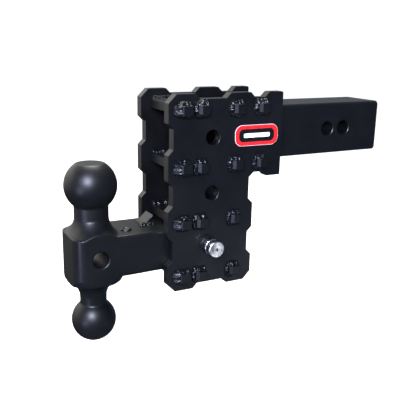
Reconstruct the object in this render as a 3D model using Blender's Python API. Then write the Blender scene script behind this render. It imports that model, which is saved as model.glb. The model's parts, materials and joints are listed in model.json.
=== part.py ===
"""Adjustable drop trailer hitch with a dual-ball mount.

Two profile-cut side plates carry four cross plates on welded tabs, which makes three stacked
pockets.  A solid 2 1/2 in shank is welded in behind the top pocket.  A forged ball mount sits
in the lowest pocket, held by a stainless pin with a keyed lock on its far end.

World frame: metres, +Z up, +X from the hitch towards the vehicle.  The origin is the middle of
the shank's free end face.  The balls are at -X, and the side plate with the label is at -Y.
"""
import math

import bmesh
import bpy
from mathutils import Matrix, Vector

MM = 0.001
INCH = 0.0254
GAP = 0.3 * MM                      # clearance between touching pieces

# Shank
SHANK_SIDE = 2.5 * INCH
SHANK_EDGE = 5.0 * MM               # rounding of its long edges
SHANK_HOLE_RADIUS = 8.75 * MM
SHANK_HOLE_INSETS = (55.0 * MM, 80.4 * MM)
SHANK_STEP_X = -172.0 * MM          # where the full section ends and the tongue begins
TONGUE_END_X = -214.0 * MM
TONGUE_LAP = 5.0 * MM               # tongue form's run into the full section

# Side plates and cross plates
PITCH = 2.5 * INCH                  # height of one pocket step
PLATE_THICK = 11.0 * MM
POCKET_WIDTH = 64.3 * MM
HOLE_X = -250.0 * MM                # column of pin holes
PLATE_HOLE_RADIUS = 8.6 * MM
PLATE_HALF = 55.0 * MM              # hole column to the plate's left and lower right edges
ARM_REACH = 92.0 * MM               # hole column to the end of the arm round the shank
EDGE_MARGIN = 17.0 * MM             # outer rows to the plate's top and bottom edges
SCALLOP_DEPTH = 6.0 * MM
SCALLOP_HALF = 14.5 * MM            # half length of the tooth at each row
CORNER = 9.5 * MM                   # corner chamfers
ARM_CORNER = 1.5 * MM
NOTCH_DEPTH = 5.8 * MM              # shallow notches in the top, bottom and arm edges
NOTCH_LEFT = -17.0 * MM             # the long notch's ends, from the hole column
NOTCH_RIGHT = 16.2 * MM
ARM_NOTCH_LEFT = 48.0 * MM          # the arm's short top notch
ARM_NOTCH_RIGHT = 73.0 * MM
ARM_DROP = 49.5 * MM                # top pin hole to the arm's lower edge
CUT_PAST = 2.0 * MM                 # how far a cutting tool runs past a plate's faces
CROSS_THICK = 10.0 * MM
CROSS_SETBACK = 12.0 * MM           # plate edge to the mouth face of a cross plate
CROSS_ENDS = (77.0 * MM, 77.0 * MM, 46.0 * MM, 46.0 * MM)
TAB_WIDTH = 13.5 * MM
TAB_REACH = 9.5 * MM                # tab past the side plate
TAB_EASE = 1.2 * MM                 # corner chamfer of a tab's end
TAB_XS = (-35.5 * MM, -15.0 * MM, 29.5 * MM, 62.5 * MM)
ROW_TAB_COUNTS = (4, 4, 3, 3)

# Welds
WELD_LEG = 5.0 * MM
END_WELD_LEG = 7.5 * MM             # the wide bead down the end of each row's first tab
END_WELD_OVERRUN = 2.5 * MM
WELD_SUNK = 1.0 * MM                # weld metal's depth inside the plate that it is fused to
POCKET_WELD_LEGS = (4.0 * MM, 4.0 * MM, 4.0 * MM, 2.2 * MM)
POCKET_WELD_INSET = 1.0 * MM
POCKET_WELD_LENGTH = 34.0 * MM
BEAD_FLATNESS = 0.16                # how far a bead's middle lies inside a quarter circle
BEAD_STATIONS = ((0.0, 0.55), (0.12, 1.0), (0.88, 1.0), (1.0, 0.55))   # way along, size

# Ball mount
BAR_WIDTH = 62.5 * MM
BAR_TOP = 22.5 * MM                 # above the pin axis
BAR_BOTTOM = -25.0 * MM
BAR_EDGE = 5.0 * MM                 # rounding of its long edges
BAR_LEAD = 4.0 * MM                 # chamfer at the end that enters the pocket
BAR_INNER = 28.0 * MM               # pin axis to the bar's end inside the pocket
BALL_AXIS = -128.6 * MM             # pin axis to the ball axis
BOSS_END = -157.0 * MM
BOSS_CORNER = (12.2 * MM, 15.5 * MM)    # the nose's elliptical corner, along and across the bar
BOSS_CORNER_STEPS = 4
UPPER_BALL_RADIUS = 2.3125 * INCH / 2
UPPER_BALL_Z = 75.5 * MM
UPPER_FLAT_RADIUS = 15.5 * MM
UPPER_NECK = 19.2 * MM
UPPER_FLARE = 25.0 * MM
UPPER_FLARE_RISE = 40.5 * MM        # height of the flare's centre
UPPER_FLARE_END = 221.0             # degrees round the flare's centre
SKIRT_SPREAD = 8.0 * MM             # 45 degree skirt below the upper flare
STRETCH_START = 38.0 * MM           # below this height the flare widens across the bar
STRETCH_RATE = 31.0                 # by this share for each metre further down
LOWER_BALL_RADIUS = 1.0 * INCH
LOWER_BALL_Z = -82.5 * MM
LOWER_FLAT_RADIUS = 9.0 * MM
LOWER_NECK = 15.2 * MM
LOWER_FLARE = 21.0 * MM
LOWER_FLARE_DROP = -54.0 * MM
LOWER_FLARE_START = 100.0           # degrees round the flare's centre
CORE_MARGIN = 5.0 * MM              # turned core's width past the skirt, inside the boss
CORE_FLOOR = 2.0 * MM               # turned core's end above the boss's underside
FORM_REACH = 150.0 * MM             # plan form's reach each way, past both balls
CROSS_HOLE_RADIUS = 9.0 * MM
CROSS_HOLE_Z = -2.0 * MM
BAR_HOLE_RADIUS = 8.75 * MM
PLUG_X = -92.0 * MM
PLUG_Y = -11.0 * MM
PLUG_RADIUS = 6.5 * MM
PLUG_DEPTH = 8.0 * MM
PLUG_RISE = 2.2 * MM
PLUG_DOME = ((0.0, 0.0), (0.55, 0.3 * MM), (0.86, 1.0 * MM), (1.0, 2.2 * MM))  # share, drop
LUG_FOOT_X = -66.5 * MM
LUG_Y = (-2.0 * MM, 18.5 * MM)
LUG_LENGTH = 15.8 * MM
LUG_THICK = 3.0 * MM
LUG_SLOPE = math.radians(42.7)
LUG_WELD_LEG = 4.5 * MM
LUG_WELD_XS = (-6.5 * MM, 14.0 * MM)    # its ends, from the lug's foot
LUG_WELD_SIDE = 1.0 * MM            # clearance beside the lug

# Locking pin and its lock
PIN_RADIUS = 0.625 * INCH / 2
HEAD_RADIUS = 10.25 * MM
HEAD_GROOVE = 6.6 * MM
HEAD_LENGTH = 15.0 * MM
HEAD_CHAMFER = 1.2 * MM
HEAD_BREAK = 0.8 * MM               # small edge breaks
HEAD_DISH = 0.8 * MM                # lathe centre mark in the head's face
HEAD_DISH_RADIUS = 1.6 * MM
GROOVE_SPAN = (5.6 * MM, 9.8 * MM)  # from the head's underside
TAIL_SHOULDER = 2.0 * MM            # how far the full pin stands past the plate
TAIL_CHAMFER = 1.5 * MM
TAIL_NECK = 5.0 * MM
TAIL_NECK_LENGTH = 5.0 * MM
TAIL_RADIUS = 6.6 * MM
TAIL_LENGTH = 10.5 * MM
LOCK_RADIUS = 14.0 * MM
LOCK_BORE = 8.4 * MM
LOCK_STANDOFF = 2.2 * MM            # plate to barrel, filled by the seal ring
LOCK_LENGTH = 29.0 * MM
LOCK_SOCKET = 13.0 * MM
LOCK_CHAMFER = 1.5 * MM
LOCK_SHAFT_RADIUS = 2.0 * MM        # bore between the socket and the key plug
SEAL_INSET = 2.0 * MM
SEAL_CROWN = 0.6 * MM
KEY_PLUG_RADIUS = 6.0 * MM
KEY_PLUG_DEPTH = 10.0 * MM
KEY_PLUG_INSET = 0.4 * MM
KEY_PLUG_CHAMFER = 0.5 * MM
KEYWAY_HALF_WIDTH = 0.9 * MM
KEYWAY_HALF_HEIGHT = 4.0 * MM
KEYWAY_DEPTH = 6.0 * MM
CAP_WALL = 1.6 * MM
CAP_SKIRT = 12.0 * MM
CAP_RIM = 0.8 * MM                  # how far the rim stands out
CAP_RIM_HEIGHT = 2.0 * MM
CAP_SHOULDER = 1.2 * MM
CAP_TOP = 2.0 * MM

# Label
LABEL_CENTRE_X = 57.0 * MM
LABEL_DROP = 0.2 * MM               # below the top pin hole
LABEL_SIZE = (58.0 * MM, 24.0 * MM)
LABEL_THICK = 0.6 * MM
LABEL_CORNER = 9.0 * MM

# Derived places
INNER_FACE = POCKET_WIDTH / 2
OUTER_FACE = INNER_FACE + PLATE_THICK
HOLE_ZS = (0.0, -PITCH, -2 * PITCH)
PIN_Z = HOLE_ZS[2]
ROW_ZS = tuple(PITCH / 2 - PITCH * row for row in range(4))
PLATE_TOP = ROW_ZS[0] + EDGE_MARGIN
PLATE_BOTTOM = ROW_ZS[3] - EDGE_MARGIN
ARM_BOTTOM = -ARM_DROP
LOCK_NEAR = OUTER_FACE + LOCK_STANDOFF
LOCK_FAR = LOCK_NEAR + LOCK_LENGTH


# ---------------------------------------------------------------- scene and mesh helpers

def clear_scene():
    """Remove whatever the opened file holds."""
    for obj in list(bpy.data.objects):
        bpy.data.objects.remove(obj, do_unlink=True)


def material(name, colour, roughness, metallic):
    """A Principled material with one colour, roughness and metallic value."""
    made = bpy.data.materials.new(name)
    made.use_nodes = True
    shader = made.node_tree.nodes["Principled BSDF"]
    shader.inputs["Base Color"].default_value = (*colour, 1.0)
    shader.inputs["Roughness"].default_value = roughness
    shader.inputs["Metallic"].default_value = metallic
    return made


def make_object(name, mesh_bm, finish=None, parent=None, smooth=None):
    """Turn a bmesh into a named object, with its origin at its parent's."""
    bmesh.ops.recalc_face_normals(mesh_bm, faces=mesh_bm.faces)
    mesh = bpy.data.meshes.new(name)
    mesh_bm.to_mesh(mesh)
    mesh_bm.free()
    if finish:
        mesh.materials.append(finish)
    if smooth:
        mesh.shade_smooth()
        mesh.set_sharp_from_angle(angle=math.radians(smooth))
    obj = bpy.data.objects.new(name, mesh)
    bpy.context.scene.collection.objects.link(obj)
    if parent:
        mesh.transform(Matrix.Translation(-parent.location))
        obj.parent = parent
    return obj


def pivot(name, location):
    """An empty on a joint's axis, which the moving pieces hang on."""
    empty = bpy.data.objects.new(name, None)
    empty.location = location
    bpy.context.scene.collection.objects.link(empty)
    return empty


def as_cutter(obj):
    """Mark an object as a cutting tool that isn't part of the hitch."""
    obj.hide_render = True
    obj.display_type = 'WIRE'
    return obj


def boolean(obj, tool, operation):
    """Add an exact Boolean with one tool object."""
    modifier = obj.modifiers.new(tool.name, 'BOOLEAN')
    modifier.operation = operation
    modifier.object = tool


def add_prism(bm, outline, start, end, axis):
    """Add a closed prism: a 2-D outline swept along an axis from start to end."""
    place = {
        'X': lambda u, v, w: (w, u, v),
        'Y': lambda u, v, w: (u, w, v),
        'Z': lambda u, v, w: (u, v, w),
    }[axis]
    lower = [bm.verts.new(place(u, v, start)) for u, v in outline]
    upper = [bm.verts.new(place(u, v, end)) for u, v in outline]
    bm.faces.new(lower)
    bm.faces.new(reversed(upper))
    for i in range(len(outline)):
        j = (i + 1) % len(outline)
        bm.faces.new((lower[i], upper[i], upper[j], lower[j]))


def rectangle(low_u, low_v, high_u, high_v):
    """The four corners of a rectangle."""
    return [(low_u, low_v), (high_u, low_v), (high_u, high_v), (low_u, high_v)]


def rounded_rectangle(half_u, half_v, radius, segments=4):
    """A rectangle about the origin with round corners."""
    points = []
    for quarter, (su, sv) in enumerate(((1, 1), (-1, 1), (-1, -1), (1, -1))):
        for step in range(segments + 1):
            angle = math.pi / 2 * (quarter + step / segments)
            points.append((su * (half_u - radius) + radius * math.cos(angle),
                           sv * (half_v - radius) + radius * math.sin(angle)))
    return points


def circle(centre_u, centre_v, radius, segments=32):
    """Points round a circle."""
    turns = [2 * math.pi * (i + 0.5) / segments for i in range(segments)]
    return [(centre_u + radius * math.cos(a), centre_v + radius * math.sin(a)) for a in turns]


def arc(centre, radius, start, end, segments):
    """Points along an arc, its angles in degrees."""
    points = []
    for i in range(segments + 1):
        angle = math.radians(start + (end - start) * i / segments)
        points.append((centre[0] + radius * math.cos(angle), centre[1] + radius * math.sin(angle)))
    return points


def add_turned(bm, profile, centre, axis, segments=40):
    """Add a solid of revolution.  Profile points are (radius, height) along the axis; a profile
    that starts and ends at radius 0 closes on the axis, any other profile is a closed ring."""
    rings = []
    for radius, height in profile:
        if radius == 0:
            rings.append([place_on_axis(bm, centre, axis, 0.0, 0.0, height)])
            continue
        ring = []
        for i in range(segments):
            angle = 2 * math.pi * i / segments
            u, v = radius * math.cos(angle), radius * math.sin(angle)
            ring.append(place_on_axis(bm, centre, axis, u, v, height))
        rings.append(ring)
    pairs = list(zip(rings, rings[1:]))
    if profile[0][0] != 0:
        pairs.append((rings[-1], rings[0]))
    for first, second in pairs:
        for i in range(segments):
            j = (i + 1) % segments
            if len(first) == 1:
                bm.faces.new((first[0], second[j], second[i]))
            elif len(second) == 1:
                bm.faces.new((first[i], first[j], second[0]))
            else:
                bm.faces.new((first[i], first[j], second[j], second[i]))


def place_on_axis(bm, centre, axis, u, v, height):
    """A vertex at (u, v) round an axis and at a height along it."""
    offset = (u, v, height) if axis == 'Z' else (u, height, v)
    return bm.verts.new(Vector(centre) + Vector(offset))


def add_bead(bm, start, end, out, along_face, leg, sunk=0.0, segments=4):
    """Add a weld bead from start to end in the corner of two faces.  out leads away from the
    face that the bead lies on, and along_face leads along it.  A bead that is part of the face's
    own piece is sunk into it, and any other keeps its clearance."""
    start, end = Vector(start), Vector(end)
    out, along_face = Vector(out), Vector(along_face)
    base = -sunk if sunk else GAP
    section = [(base, GAP)]
    for i in range(segments + 1):
        angle = math.pi / 2 * i / segments
        bulge = leg * (1 - BEAD_FLATNESS * math.sin(2 * angle))
        section.append((GAP + bulge * math.cos(angle), GAP + bulge * math.sin(angle)))
    if sunk:
        section.append((base, GAP + leg))
    rings = []
    for way, scale in BEAD_STATIONS:
        centre = start.lerp(end, way)
        ring = []
        for a, b in section:
            height = a if a < GAP else GAP + (a - GAP) * scale
            ring.append(bm.verts.new(centre + out * height + along_face * (GAP + (b - GAP) * scale)))
        rings.append(ring)
    bm.faces.new(rings[0])
    bm.faces.new(reversed(rings[-1]))
    for first, second in zip(rings, rings[1:]):
        for i in range(len(section)):
            j = (i + 1) % len(section)
            bm.faces.new((first[i], second[i], second[j], first[j]))


# ---------------------------------------------------------------- shank and plates

def build_shank(finish):
    """The solid square shank.  Its inner end is stepped down to a tongue that fits between the
    two upper rows of cross plates."""
    bm = bmesh.new()
    half = SHANK_SIDE / 2
    add_prism(bm, rounded_rectangle(half, half, SHANK_EDGE), SHANK_STEP_X, 0.0, 'X')
    shank = make_object("shank", bm, finish, smooth=35)
    tongue_half = (PITCH - CROSS_THICK) / 2 - GAP
    bm = bmesh.new()
    add_prism(bm, rectangle(-half, -tongue_half, half, tongue_half),
              TONGUE_END_X, SHANK_STEP_X + TONGUE_LAP, 'X')
    tongue = as_cutter(make_object("shank_tongue_form", bm))
    boolean(shank, tongue, 'UNION')
    bm = bmesh.new()
    for inset in SHANK_HOLE_INSETS:
        add_prism(bm, circle(-inset, 0.0, SHANK_HOLE_RADIUS), -2 * half, 2 * half, 'Y')
    boolean(shank, as_cutter(make_object("shank_hole_drill", bm)), 'DIFFERENCE')


def tooth_edge(edge_x, inward, row_zs, first_z, last_z):
    """One scalloped vertical edge, read downwards: a tooth at each row, a notch between rows."""
    notch_x = edge_x + inward * SCALLOP_DEPTH
    points = [(edge_x, first_z)]
    for upper, lower in zip(row_zs, row_zs[1:]):
        points.append((edge_x, upper - SCALLOP_HALF))
        points.append((notch_x, upper - SCALLOP_HALF - SCALLOP_DEPTH))
        points.append((notch_x, lower + SCALLOP_HALF + SCALLOP_DEPTH))
        points.append((edge_x, lower + SCALLOP_HALF))
    points.append((edge_x, last_z))
    return points


def plate_outline():
    """The side plate's profile, from the top left corner clockwise, about the hole column."""
    rise = NOTCH_DEPTH
    top = [
        (-PLATE_HALF + CORNER, PLATE_TOP),
        (NOTCH_LEFT - rise, PLATE_TOP),
        (NOTCH_LEFT, PLATE_TOP - rise),
        (NOTCH_RIGHT, PLATE_TOP - rise),
        (NOTCH_RIGHT + rise, PLATE_TOP),
        (ARM_NOTCH_LEFT, PLATE_TOP),
        (ARM_NOTCH_LEFT + rise, PLATE_TOP - rise),
        (ARM_NOTCH_RIGHT - rise, PLATE_TOP - rise),
        (ARM_NOTCH_RIGHT, PLATE_TOP),
        (ARM_REACH - ARM_CORNER, PLATE_TOP),
        (ARM_REACH, PLATE_TOP - ARM_CORNER),
    ]
    arm = [
        (ARM_REACH, ARM_BOTTOM),
        (ARM_NOTCH_RIGHT, ARM_BOTTOM),
        (ARM_NOTCH_RIGHT - rise, ARM_BOTTOM + rise),
        (PLATE_HALF, ARM_BOTTOM + rise),
        (PLATE_HALF - SCALLOP_DEPTH, ARM_BOTTOM),
        (PLATE_HALF - SCALLOP_DEPTH, ROW_ZS[2] + SCALLOP_HALF + SCALLOP_DEPTH),
    ]
    right = tooth_edge(PLATE_HALF, -1, ROW_ZS[2:], ROW_ZS[2] + SCALLOP_HALF, PLATE_BOTTOM + CORNER)
    bottom = [
        (PLATE_HALF - CORNER, PLATE_BOTTOM),
        (NOTCH_RIGHT + rise, PLATE_BOTTOM),
        (NOTCH_RIGHT, PLATE_BOTTOM + rise),
        (NOTCH_LEFT, PLATE_BOTTOM + rise),
        (NOTCH_LEFT - rise, PLATE_BOTTOM),
        (-PLATE_HALF + CORNER, PLATE_BOTTOM),
    ]
    left = tooth_edge(-PLATE_HALF, 1, ROW_ZS, PLATE_TOP - CORNER, PLATE_BOTTOM + CORNER)
    outline = top + arm + right + bottom + left[::-1]
    return [(HOLE_X + x, z) for x, z in outline]


def slot_and_hole_tools(side, name):
    """One tool that holds a side plate's pin holes and tab slots."""
    near, far = side * (INNER_FACE - CUT_PAST), side * (OUTER_FACE + CUT_PAST)
    bm = bmesh.new()
    for z in HOLE_ZS:
        add_prism(bm, circle(HOLE_X, z, PLATE_HOLE_RADIUS), near, far, 'Y')
    half_w = TAB_WIDTH / 2 + GAP
    half_t = CROSS_THICK / 2 + GAP
    for z, count in zip(ROW_ZS, ROW_TAB_COUNTS):
        for tab_x in TAB_XS[:count]:
            x = HOLE_X + tab_x
            slot = rectangle(x - half_w, z - half_t, x + half_w, z + half_t)
            add_prism(bm, slot, near, far, 'Y')
    return as_cutter(make_object(name, bm))


def tab_weld_form(side, name):
    """One tool that holds a side plate's weld metal: beads above and below every tab, and one
    down the left end of each row's first tab."""
    half_t = CROSS_THICK / 2
    face = side * OUTER_FACE
    out = (0, side, 0)
    bm = bmesh.new()
    for z, count in zip(ROW_ZS, ROW_TAB_COUNTS):
        for tab_x in TAB_XS[:count]:
            low = HOLE_X + tab_x - TAB_WIDTH / 2
            high = low + TAB_WIDTH
            for up in (1, -1):
                edge_z = z + up * half_t
                add_bead(bm, (low, face, edge_z), (high, face, edge_z), out, (0, 0, up),
                         WELD_LEG, WELD_SUNK)
        first = HOLE_X + TAB_XS[0] - TAB_WIDTH / 2
        reach = half_t + END_WELD_OVERRUN
        add_bead(bm, (first, face, z - reach), (first, face, z + reach), out, (-1, 0, 0),
                 END_WELD_LEG, WELD_SUNK)
    return as_cutter(make_object(name, bm))


def build_side_plate(name, side, finish):
    """One scalloped side plate, on the -Y or the +Y side, with the weld metal on its face."""
    bm = bmesh.new()
    add_prism(bm, plate_outline(), side * INNER_FACE, side * OUTER_FACE, 'Y')
    plate = make_object(name, bm, finish)
    boolean(plate, slot_and_hole_tools(side, name + "_punch"), 'DIFFERENCE')
    boolean(plate, tab_weld_form(side, name + "_weld_form"), 'UNION')


def cross_plate_outline(tab_count, end_x):
    """A cross plate seen from above: a strip with tabs along both of its long edges."""
    half = INNER_FACE - GAP
    reach = OUTER_FACE + TAB_REACH
    ease = TAB_EASE
    edge = [(-PLATE_HALF + CROSS_SETBACK, half)]
    for tab_x in TAB_XS[:tab_count]:
        low, high = tab_x - TAB_WIDTH / 2, tab_x + TAB_WIDTH / 2
        edge += [(low, half), (low, reach - ease), (low + ease, reach)]
        edge += [(high - ease, reach), (high, reach - ease), (high, half)]
    edge.append((end_x, half))
    mirrored = [(x, -y) for x, y in reversed(edge)]
    return [(HOLE_X + x, y) for x, y in edge + mirrored]


def build_cross_plates(finish):
    """Four cross plates, the floors and roofs of the three pockets."""
    for row, z in enumerate(ROW_ZS):
        bm = bmesh.new()
        outline = cross_plate_outline(ROW_TAB_COUNTS[row], CROSS_ENDS[row])
        add_prism(bm, outline, z - CROSS_THICK / 2, z + CROSS_THICK / 2, 'Z')
        make_object(f"cross_plate_row{row + 1}", bm, finish)


# ---------------------------------------------------------------- welds

def build_pocket_welds(finish):
    """Fillets inside the mouths, where each cross plate's upper face meets the side plates.  The
    lowest ones are small, because the bar rests just above them."""
    start = HOLE_X - PLATE_HALF + CROSS_SETBACK + POCKET_WELD_INSET
    end = start + POCKET_WELD_LENGTH
    for row, (z, leg) in enumerate(zip(ROW_ZS, POCKET_WELD_LEGS)):
        top = z + CROSS_THICK / 2
        for side, side_name in ((-1, "front"), (1, "rear")):
            bm = bmesh.new()
            wall = side * INNER_FACE
            add_bead(bm, (start, wall, top), (end, wall, top), (0, 0, 1), (0, -side, 0), leg)
            make_object(f"pocket_weld_row{row + 1}_{side_name}", bm, finish, smooth=50)


def build_shank_welds(finish):
    """Upright fillets between the ends of the plates' arms and the sides of the shank."""
    arm_end = HOLE_X + ARM_REACH
    reach = SHANK_SIDE / 2 - SHANK_EDGE
    for side, side_name in ((-1, "front"), (1, "rear")):
        bm = bmesh.new()
        add_bead(bm, (arm_end, side * SHANK_SIDE / 2, -reach), (arm_end, side * SHANK_SIDE / 2, reach),
                 (1, 0, 0), (0, side, 0), WELD_LEG)
        make_object(f"shank_weld_{side_name}", bm, finish, smooth=50)


# ---------------------------------------------------------------- ball mount

def mount_plan():
    """The ball mount's outline from above: a straight bar with a blunt, rounded nose."""
    half = BAR_WIDTH / 2
    end = HOLE_X + BOSS_END
    inner = HOLE_X + BAR_INNER
    turns = [math.pi / 2 * step / BOSS_CORNER_STEPS for step in range(BOSS_CORNER_STEPS + 1)]
    side = [(end + BOSS_CORNER[0] * (1 - math.cos(turn)),
             half - BOSS_CORNER[1] * (1 - math.sin(turn))) for turn in turns]
    side += [(inner - BAR_LEAD, half), (inner, half - BAR_LEAD)]
    return side + [(x, -y) for x, y in reversed(side)]


def mount_profile():
    """The turned profile of both balls, their necks and flares, from top to bottom."""
    top_flat = math.degrees(math.acos(UPPER_FLAT_RADIUS / UPPER_BALL_RADIUS))
    neck_in = -math.degrees(math.acos(UPPER_NECK / UPPER_BALL_RADIUS))
    upper = [(0.0, UPPER_BALL_Z + UPPER_BALL_RADIUS * math.sin(math.radians(top_flat)))]
    upper += arc((0.0, UPPER_BALL_Z), UPPER_BALL_RADIUS, top_flat, neck_in, 13)
    upper += arc((UPPER_NECK + UPPER_FLARE, UPPER_FLARE_RISE), UPPER_FLARE, 180, UPPER_FLARE_END, 5)
    last_r, last_z = upper[-1]
    upper.append((last_r + SKIRT_SPREAD, last_z - SKIRT_SPREAD))
    core = last_r + SKIRT_SPREAD + CORE_MARGIN
    steep = arc((LOWER_NECK + LOWER_FLARE, LOWER_FLARE_DROP), LOWER_FLARE, LOWER_FLARE_START,
                180, 6)
    neck_out = math.degrees(math.acos(LOWER_NECK / LOWER_BALL_RADIUS))
    bottom_flat = -math.degrees(math.acos(LOWER_FLAT_RADIUS / LOWER_BALL_RADIUS))
    lower = arc((0.0, LOWER_BALL_Z), LOWER_BALL_RADIUS, neck_out, bottom_flat, 12)
    lower.append((0.0, LOWER_BALL_Z + LOWER_BALL_RADIUS * math.sin(math.radians(bottom_flat))))
    return upper + [(core, 0.0), (core, BAR_BOTTOM + CORE_FLOOR)] + steep + lower


def build_ball_mount(finish, parent):
    """One forging: the bar, its boss and both balls."""
    plan = mount_plan()
    bm = bmesh.new()
    add_prism(bm, plan, PIN_Z + BAR_BOTTOM, PIN_Z + BAR_TOP, 'Z')
    rims = [edge for edge in bm.edges if abs(edge.verts[0].co.z - edge.verts[1].co.z) < 1e-6]
    bmesh.ops.bevel(bm, geom=rims, offset=BAR_EDGE, segments=3, profile=0.5, affect='EDGES',
                    clamp_overlap=True)
    mount = make_object("ball_mount", bm, finish, parent, smooth=30)

    bm = bmesh.new()
    add_turned(bm, mount_profile(), (HOLE_X + BALL_AXIS, 0.0, PIN_Z), 'Z', 48)
    for vertex in bm.verts:
        if vertex.co.z > PIN_Z:
            drop = max(0.0, PIN_Z + STRETCH_START - vertex.co.z)
            vertex.co.y *= 1 + STRETCH_RATE * drop
    turned = as_cutter(make_object("ball_turning_form", bm, None, parent))
    bm = bmesh.new()
    add_prism(bm, plan, PIN_Z - FORM_REACH, PIN_Z + FORM_REACH, 'Z')
    boolean(turned, as_cutter(make_object("mount_plan_form", bm, None, parent)), 'INTERSECT')
    boolean(mount, turned, 'UNION')

    bm = bmesh.new()
    width = BAR_WIDTH
    add_prism(bm, circle(HOLE_X + BALL_AXIS, PIN_Z + CROSS_HOLE_Z, CROSS_HOLE_RADIUS), -width, width, 'Y')
    add_prism(bm, circle(HOLE_X, PIN_Z, BAR_HOLE_RADIUS), -width, width, 'Y')
    seat = circle(HOLE_X + PLUG_X, PLUG_Y, PLUG_RADIUS + GAP)
    add_prism(bm, seat, PIN_Z + BAR_TOP - PLUG_DEPTH, PIN_Z + BAR_TOP + CUT_PAST, 'Z')
    boolean(mount, as_cutter(make_object("mount_drill", bm, None, parent)), 'DIFFERENCE')


def build_bar_top_plug(finish, parent):
    """A round plug with a low dome, set in the top of the bar."""
    height = BAR_TOP + PLUG_RISE
    floor = BAR_TOP - PLUG_DEPTH + GAP
    profile = [(PLUG_RADIUS * share, height - drop) for share, drop in PLUG_DOME]
    profile += [(PLUG_RADIUS, floor), (0.0, floor)]
    bm = bmesh.new()
    add_turned(bm, profile, (HOLE_X + PLUG_X, PLUG_Y, PIN_Z), 'Z', 24)
    make_object("bar_top_plug", bm, finish, parent, smooth=40)


def build_stop_lug(finish, parent):
    """The sloping lug on the bar that meets the hitch at the pocket's mouth."""
    along = Vector((math.cos(LUG_SLOPE), 0.0, math.sin(LUG_SLOPE)))
    foot_x = HOLE_X + LUG_FOOT_X
    foot_z = PIN_Z + BAR_TOP + GAP
    spread = LUG_THICK / math.sin(LUG_SLOPE)
    top = along * LUG_LENGTH
    outline = [(foot_x, foot_z), (foot_x + top.x, foot_z + top.z),
               (foot_x + top.x + LUG_THICK * math.sin(LUG_SLOPE),
                foot_z + top.z - LUG_THICK * math.cos(LUG_SLOPE)),
               (foot_x + spread, foot_z)]
    bm = bmesh.new()
    add_prism(bm, outline, LUG_Y[0], LUG_Y[1], 'Y')
    make_object("stop_lug", bm, finish, parent)


def build_lug_weld(finish, parent):
    """The bead on the bar beside the lug."""
    foot_x = HOLE_X + LUG_FOOT_X
    side_y = LUG_Y[0] - LUG_WELD_SIDE
    top = PIN_Z + BAR_TOP
    bm = bmesh.new()
    add_bead(bm, (foot_x + LUG_WELD_XS[0], side_y, top), (foot_x + LUG_WELD_XS[1], side_y, top),
             (0, 0, 1), (0, -1, 0), LUG_WELD_LEG)
    make_object("stop_lug_weld", bm, finish, parent, smooth=50)


# ---------------------------------------------------------------- locking pin

def build_locking_pin(finish, parent):
    """The stainless pin: a grooved head at -Y and a necked tail that the lock grips."""
    face = -OUTER_FACE - GAP
    end = face - HEAD_LENGTH
    tail = OUTER_FACE + TAIL_SHOULDER
    disc, collar = face - GROOVE_SPAN[1], face - GROOVE_SPAN[0]
    waist = tail + TAIL_NECK_LENGTH
    tip = tail + TAIL_LENGTH
    profile = [
        (0.0, end + HEAD_DISH),
        (HEAD_DISH_RADIUS, end),
        (HEAD_RADIUS - HEAD_CHAMFER, end),
        (HEAD_RADIUS, end + HEAD_CHAMFER),
        (HEAD_RADIUS, disc - HEAD_BREAK),
        (HEAD_RADIUS - HEAD_BREAK, disc),
        (HEAD_GROOVE, disc),
        (HEAD_GROOVE, collar),
        (HEAD_RADIUS - HEAD_BREAK, collar),
        (HEAD_RADIUS, collar + HEAD_BREAK),
        (HEAD_RADIUS, face - HEAD_BREAK),
        (HEAD_RADIUS - HEAD_BREAK, face),
        (PIN_RADIUS, face),
        (PIN_RADIUS, tail - TAIL_CHAMFER),
        (PIN_RADIUS - TAIL_CHAMFER, tail),
        (TAIL_NECK, tail),
        (TAIL_NECK, waist),
        (TAIL_RADIUS, waist),
        (TAIL_RADIUS, tip - TAIL_CHAMFER),
        (TAIL_RADIUS - TAIL_CHAMFER, tip),
        (0.0, tip),
    ]
    bm = bmesh.new()
    add_turned(bm, profile, (HOLE_X, 0.0, PIN_Z), 'Y', 36)
    make_object("locking_pin", bm, finish, parent, smooth=35)


def build_lock(finishes, parent):
    """The lock's barrel with the pin's socket on one side and the key plug's bore on the other,
    and the rubber ring that keeps dirt out of the socket."""
    near, far = LOCK_NEAR, LOCK_FAR
    socket = near + LOCK_SOCKET
    key_bore = far - KEY_PLUG_DEPTH
    profile = [
        (LOCK_BORE, near), (LOCK_RADIUS - LOCK_CHAMFER, near), (LOCK_RADIUS, near + LOCK_CHAMFER),
        (LOCK_RADIUS, far - LOCK_CHAMFER), (LOCK_RADIUS - LOCK_CHAMFER, far),
        (KEY_PLUG_RADIUS + GAP, far), (KEY_PLUG_RADIUS + GAP, key_bore),
        (LOCK_SHAFT_RADIUS, key_bore), (LOCK_SHAFT_RADIUS, socket), (LOCK_BORE, socket),
    ]
    bm = bmesh.new()
    add_turned(bm, profile, (HOLE_X, 0.0, PIN_Z), 'Y', 36)
    make_object("lock_barrel", bm, finishes["lock"], parent, smooth=35)

    start, end = OUTER_FACE + GAP, near - GAP
    rim = LOCK_RADIUS - SEAL_INSET
    ring = [(LOCK_BORE, start), (rim, start), (rim + SEAL_CROWN, (start + end) / 2), (rim, end),
            (LOCK_BORE, end)]
    bm = bmesh.new()
    add_turned(bm, ring, (HOLE_X, 0.0, PIN_Z), 'Y', 32)
    make_object("lock_seal_ring", bm, finishes["rubber"], parent, smooth=60)


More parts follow.
